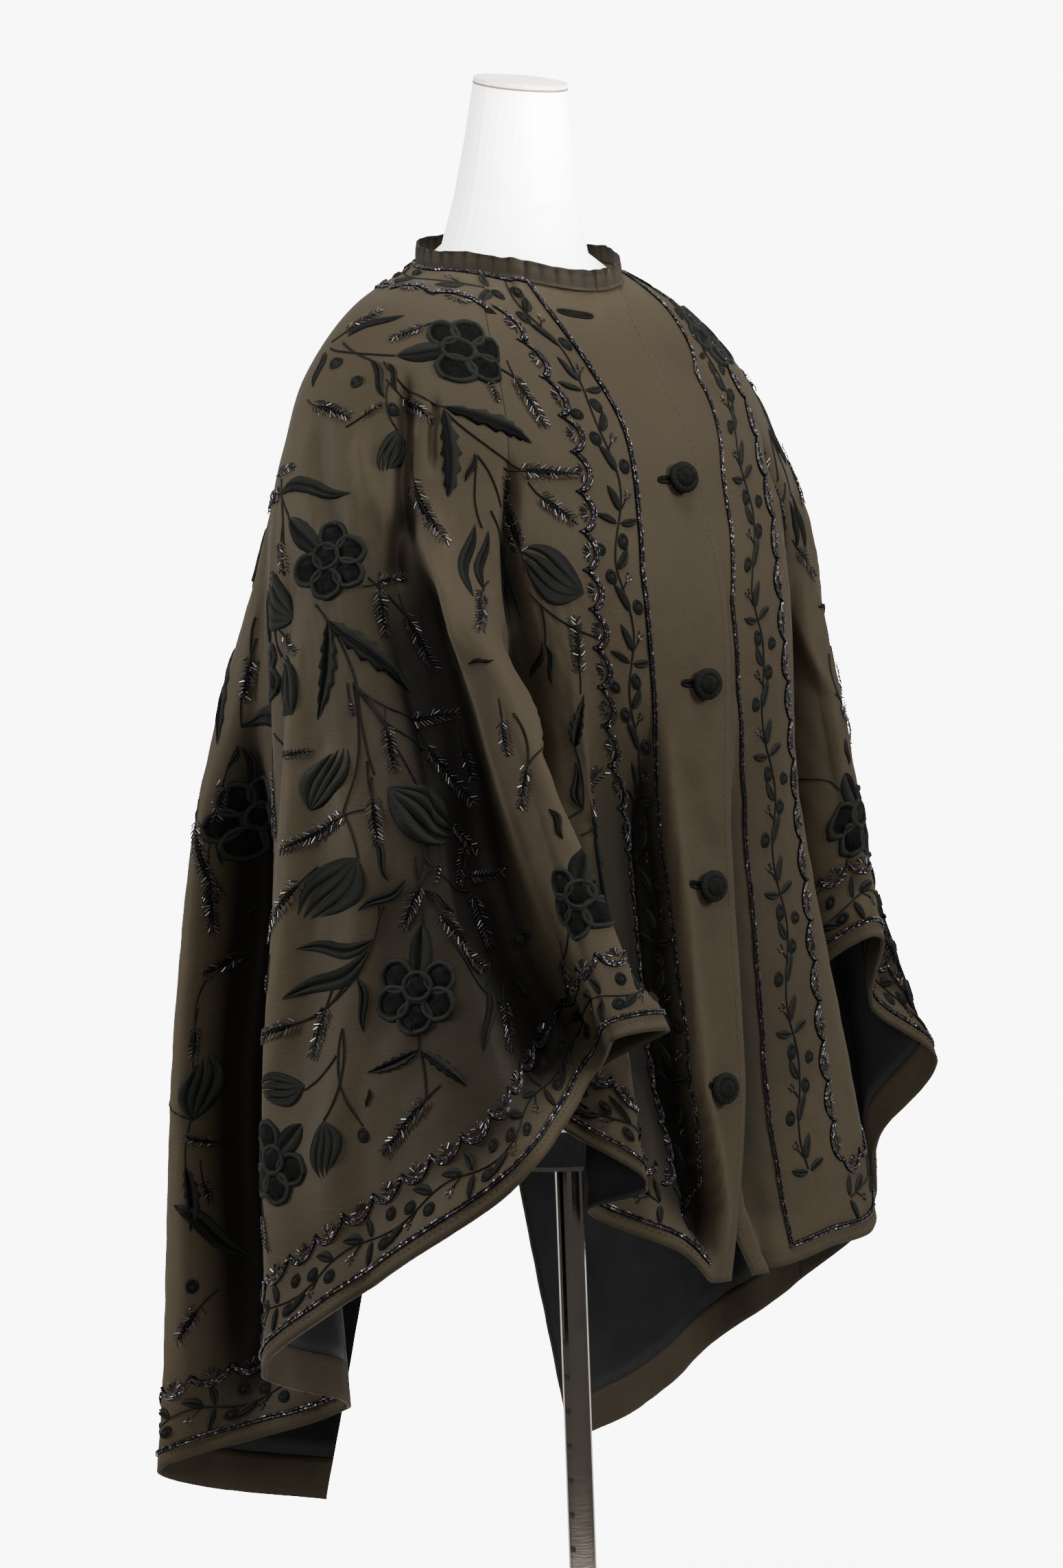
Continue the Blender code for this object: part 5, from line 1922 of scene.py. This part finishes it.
def make_pole_holes():
    """The row of holes in the pole, each a low dome painted black as the shade inside the hole, that shows at
    its side.
    """
    sides = 12
    phi = np.linspace(0, math.tau, sides, endpoint=False)
    shares = np.array((0.0, 0.5, 0.85, 1.0))
    ring = np.concatenate([[0], np.repeat(np.arange(1, len(shares)), sides)])
    turn = np.concatenate([[0.0], np.tile(phi, len(shares) - 1)])
    away = POLE_HOLE_RADIUS * shares[ring]
    out = POLE_RADIUS - POLE_HOLE_SINK + POLE_HOLE_RISE * np.sqrt(1 - shares[ring] ** 2)
    points = np.stack([-out, away * np.cos(turn), -away * np.sin(turn)], axis=-1)
    heights = POLE_HOLE_TOP - POLE_HOLE_STEP * np.arange(POLE_HOLES)
    spots = np.stack([0 * heights, 0 * heights, heights], axis=-1)
    firsts = len(points) * np.arange(POLE_HOLES)[:, None, None]
    faces = [(part + firsts).reshape(-1, part.shape[1]) for part in disc_faces(len(shares) - 1, sides)]
    points = (spots[:, None] + points).reshape(-1, 3)
    # Each hole's black is painted shade.
    add_piece("pole_holes", points, faces, [plain_finish("hole_painted_shade", HOLE_SHADE_BLACK, 0.7)], points[:, :2])


def dress_stand():
    """Finishes of the form and stand, a painted shadow band at the seam under the neck cap, and the holes in
    the pole.
    """
    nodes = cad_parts
    looks = {
        "form_torso": form_finish(),
        "neck_cap": plain_finish("cap_laminate", CAP_CREAM, 0.35),
        "form_block": plain_finish("black_felt", FELT_BLACK, 0.8),
        "stand_flange": steel_finish("flange_steel", 0.28),
        "stand_pole": steel_finish("pole_chrome", 0.02, POLE_WARMTH),
        "stand_base": steel_finish("base_steel", 0.30),
    }
    for name, material in looks.items():
        item = bpy.data.objects.get(name) or nodes[name]
        for place in item.material_slots:
            place.material = material
    # A thin brown ring where the cap meets the form: a painted shadow of the gap under the cap.
    low, high = CAP_SEAM
    inner, outer = CAP_RADII
    points, quads = ring_band(CAP_CENTRE, (inner, outer, outer, inner), (low, low, high, high))
    points[:, 2] += CAP_TILT * points[:, 1]
    cap_shadow_finish = plain_finish("cap_painted_shadow", CAP_SHADOW_BROWN, 0.6)
    add_piece("cap_shadow_band", points, [quads], [cap_shadow_finish], points[:, :2])
    make_pole_holes()


class MANTLE_OT_panels(bpy.types.Operator):
    """The six panels of ribbed silk"""

    bl_idname = "mantle.panels"
    bl_label = "Cloth panels"

    def execute(self, context):
        for side in FOLDS:
            for piece in PIECES:
                make_panel(halves()[side], piece)
        return {"FINISHED"}


class MANTLE_OT_inside(bpy.types.Operator):
    """Hem facings and lining"""

    bl_idname = "mantle.inside"
    bl_label = "Facings and lining"

    def execute(self, context):
        for side in FOLDS:
            for piece in ("sleeve", "back"):
                for kind in ("facing", "lining"):
                    make_inside(halves()[side], piece, kind)
        return {"FINISHED"}


class MANTLE_OT_collar(bpy.types.Operator):
    """The pleated collar"""

    bl_idname = "mantle.collar"
    bl_label = "Collar"

    def execute(self, context):
        make_collar()
        return {"FINISHED"}


class MANTLE_OT_work(bpy.types.Operator):
    """Embroidery and beads of both halves"""

    bl_idname = "mantle.work"
    bl_label = "Embroidery and beads"

    def execute(self, context):
        made = halves()
        for side in FOLDS:
            work_half(made[side], made["anchors"], made["stalks"])
        return {"FINISHED"}


class MANTLE_OT_buttons(bpy.types.Operator):
    """Covered buttons, buttonholes and running stitches"""

    bl_idname = "mantle.buttons"
    bl_label = "Buttons and sewing"

    def execute(self, context):
        for number, height in enumerate(BUTTON_HEIGHTS, 1):
            make_button(number, height)
        make_buttonholes()
        make_sewing()
        return {"FINISHED"}


class MANTLE_OT_stand(bpy.types.Operator):
    """Finishes of the dress form and its stand"""

    bl_idname = "mantle.stand"
    bl_label = "Form and stand"

    def execute(self, context):
        dress_stand()
        return {"FINISHED"}


def axes_matrix(side, up, back, place):
    """A camera's or light's place in the scene, from its own axes."""
    turn = np.eye(4)
    turn[:3] = np.stack([side, up, back, place], axis=1)
    return Matrix(turn.tolist())


def add_light(name, place, target, energy, size, spread=math.pi):
    """A square area light at a place, pointed at a target."""
    data = bpy.data.lights.new(name, "AREA")
    data.energy = energy
    data.size = size
    data.spread = spread
    item = bpy.data.objects.new(name, data)
    bpy.context.scene.collection.objects.link(item)
    back = unit(np.asarray(place, float) - np.asarray(target, float))
    side = unit(np.cross((0.0, 0.0, 1.0), back))
    item.matrix_world = axes_matrix(side, np.cross(back, side), back, place)


def light_world(world, forward):
    """A white backdrop for the camera, a weak fill, and a gleam from behind that only mirrors see."""
    world.use_nodes = True
    tree = world.node_tree
    shown = tree.nodes["Background"]
    fill, gleam = (tree.nodes.new("ShaderNodeBackground") for _ in range(2))
    for node, strength in ((shown, BACKDROP_STRENGTH), (fill, FILL_STRENGTH), (gleam, GLEAM_STRENGTH)):
        node.inputs["Color"].default_value = (*BACKDROP_WHITE, 1.0)
        node.inputs["Strength"].default_value = strength
    place = tree.nodes.new("ShaderNodeTexCoord")
    path = tree.nodes.new("ShaderNodeLightPath")
    behind = tree.nodes.new("ShaderNodeVectorMath")
    behind.operation = "DOT_PRODUCT"
    behind.inputs[1].default_value = tuple(forward)
    edge, mirrored = (tree.nodes.new("ShaderNodeMath") for _ in range(2))
    edge.operation = "GREATER_THAN"
    edge.inputs[1].default_value = GLEAM_EDGE
    mirrored.operation = "MULTIPLY"
    unseen, choice = (tree.nodes.new("ShaderNodeMixShader") for _ in range(2))
    links = (
        (place.outputs["Generated"], behind.inputs[0]),
        (behind.outputs["Value"], edge.inputs[0]),
        (edge.outputs[0], mirrored.inputs[0]),
        (path.outputs["Is Glossy Ray"], mirrored.inputs[1]),
        (mirrored.outputs[0], unseen.inputs[0]),
        (fill.outputs[0], unseen.inputs[1]),
        (gleam.outputs[0], unseen.inputs[2]),
        (path.outputs["Is Camera Ray"], choice.inputs[0]),
        (unseen.outputs[0], choice.inputs[1]),
        (shown.outputs[0], choice.inputs[2]),
        (choice.outputs[0], tree.nodes["World Output"].inputs["Surface"]),
    )
    for source, target in links:
        tree.links.new(source, target)


def light_studio():
    """Softboxes round the stand, and a narrow light on the neck."""
    middle, above = np.array((0.0, 0.0, 1.0)), np.array((0.0, 0.0, 1.0))
    left, near = np.array((-0.707, 0.707, 0.0)), np.array((-0.707, -0.707, 0.0))
    for name, sideways, forwards, height, energy, size in SOFTBOXES:
        place = middle + left * sideways + near * forwards + above * height
        add_light(name, place, middle + above * SOFTBOX_AIM, energy, size)
    sideways, forwards, height = NECK_LIGHT_PLACE
    place = middle - left * sideways + near * forwards + above * height
    spread = math.radians(NECK_LIGHT_DEG)
    add_light("neck_light", place, middle + above * NECK_LIGHT_AIM, NECK_LIGHT, NECK_LIGHT_SIZE, spread)


class MANTLE_OT_stage(bpy.types.Operator):
    """Camera, floor and soft studio light"""

    bl_idname = "mantle.stage"
    bl_label = "Stage"

    def execute(self, context):
        scene = context.scene
        right, up, forward = camera_axes()
        data = bpy.data.cameras.new("photo_camera")
        data.sensor_width = 36.0
        data.lens = PHOTO_FOCAL / PHOTO_SIZE[1] * data.sensor_width
        camera = bpy.data.objects.new("photo_camera", data)
        scene.collection.objects.link(camera)
        camera.matrix_world = axes_matrix(right, up, -forward, EYE)
        scene.camera = camera
        scene.world = scene.world or bpy.data.worlds.new("studio")
        light_world(scene.world, forward)
        reach = FLOOR_FAR * 1.1
        corners = np.array(((-1, -1, 0), (1, -1, 0), (1, 1, 0), (-1, 1, 0))) * reach
        floor = add_piece("floor", corners, [np.array([[0, 1, 2, 3]])], [floor_finish()])
        light_studio()
        return {"FINISHED"}


class MANTLE_PT_panel(bpy.types.Panel):
    """Lists the steps of the mantle"""

    bl_idname = "MANTLE_PT_panel"
    bl_label = "Mantle"
    bl_space_type = "VIEW_3D"
    bl_region_type = "UI"
    bl_category = "Mantle"

    def draw(self, context):
        for step in STEPS:
            self.layout.operator(step.bl_idname)


STEPS = (
    MANTLE_OT_stage,
    MANTLE_OT_panels,
    MANTLE_OT_inside,
    MANTLE_OT_collar,
    MANTLE_OT_work,
    MANTLE_OT_buttons,
    MANTLE_OT_stand,
)
CLASSES = (MantleSizes, MantleColours, *STEPS, MANTLE_PT_panel)


def register():
    for item in CLASSES:
        bpy.utils.register_class(item)
    bpy.types.Scene.mantle_sizes = PointerProperty(type=MantleSizes)
    bpy.types.Scene.mantle_colours = PointerProperty(type=MantleColours)


def unregister():
    del bpy.types.Scene.mantle_sizes
    del bpy.types.Scene.mantle_colours
    for item in reversed(CLASSES):
        bpy.utils.unregister_class(item)


def main():
    register()
    bpy.ops.mantle.stage()
    bpy.ops.mantle.panels()
    bpy.ops.mantle.inside()
    bpy.ops.mantle.collar()
    bpy.ops.mantle.work()
    bpy.ops.mantle.buttons()
    bpy.ops.mantle.stand()


if __name__ == "__main__":
    main()
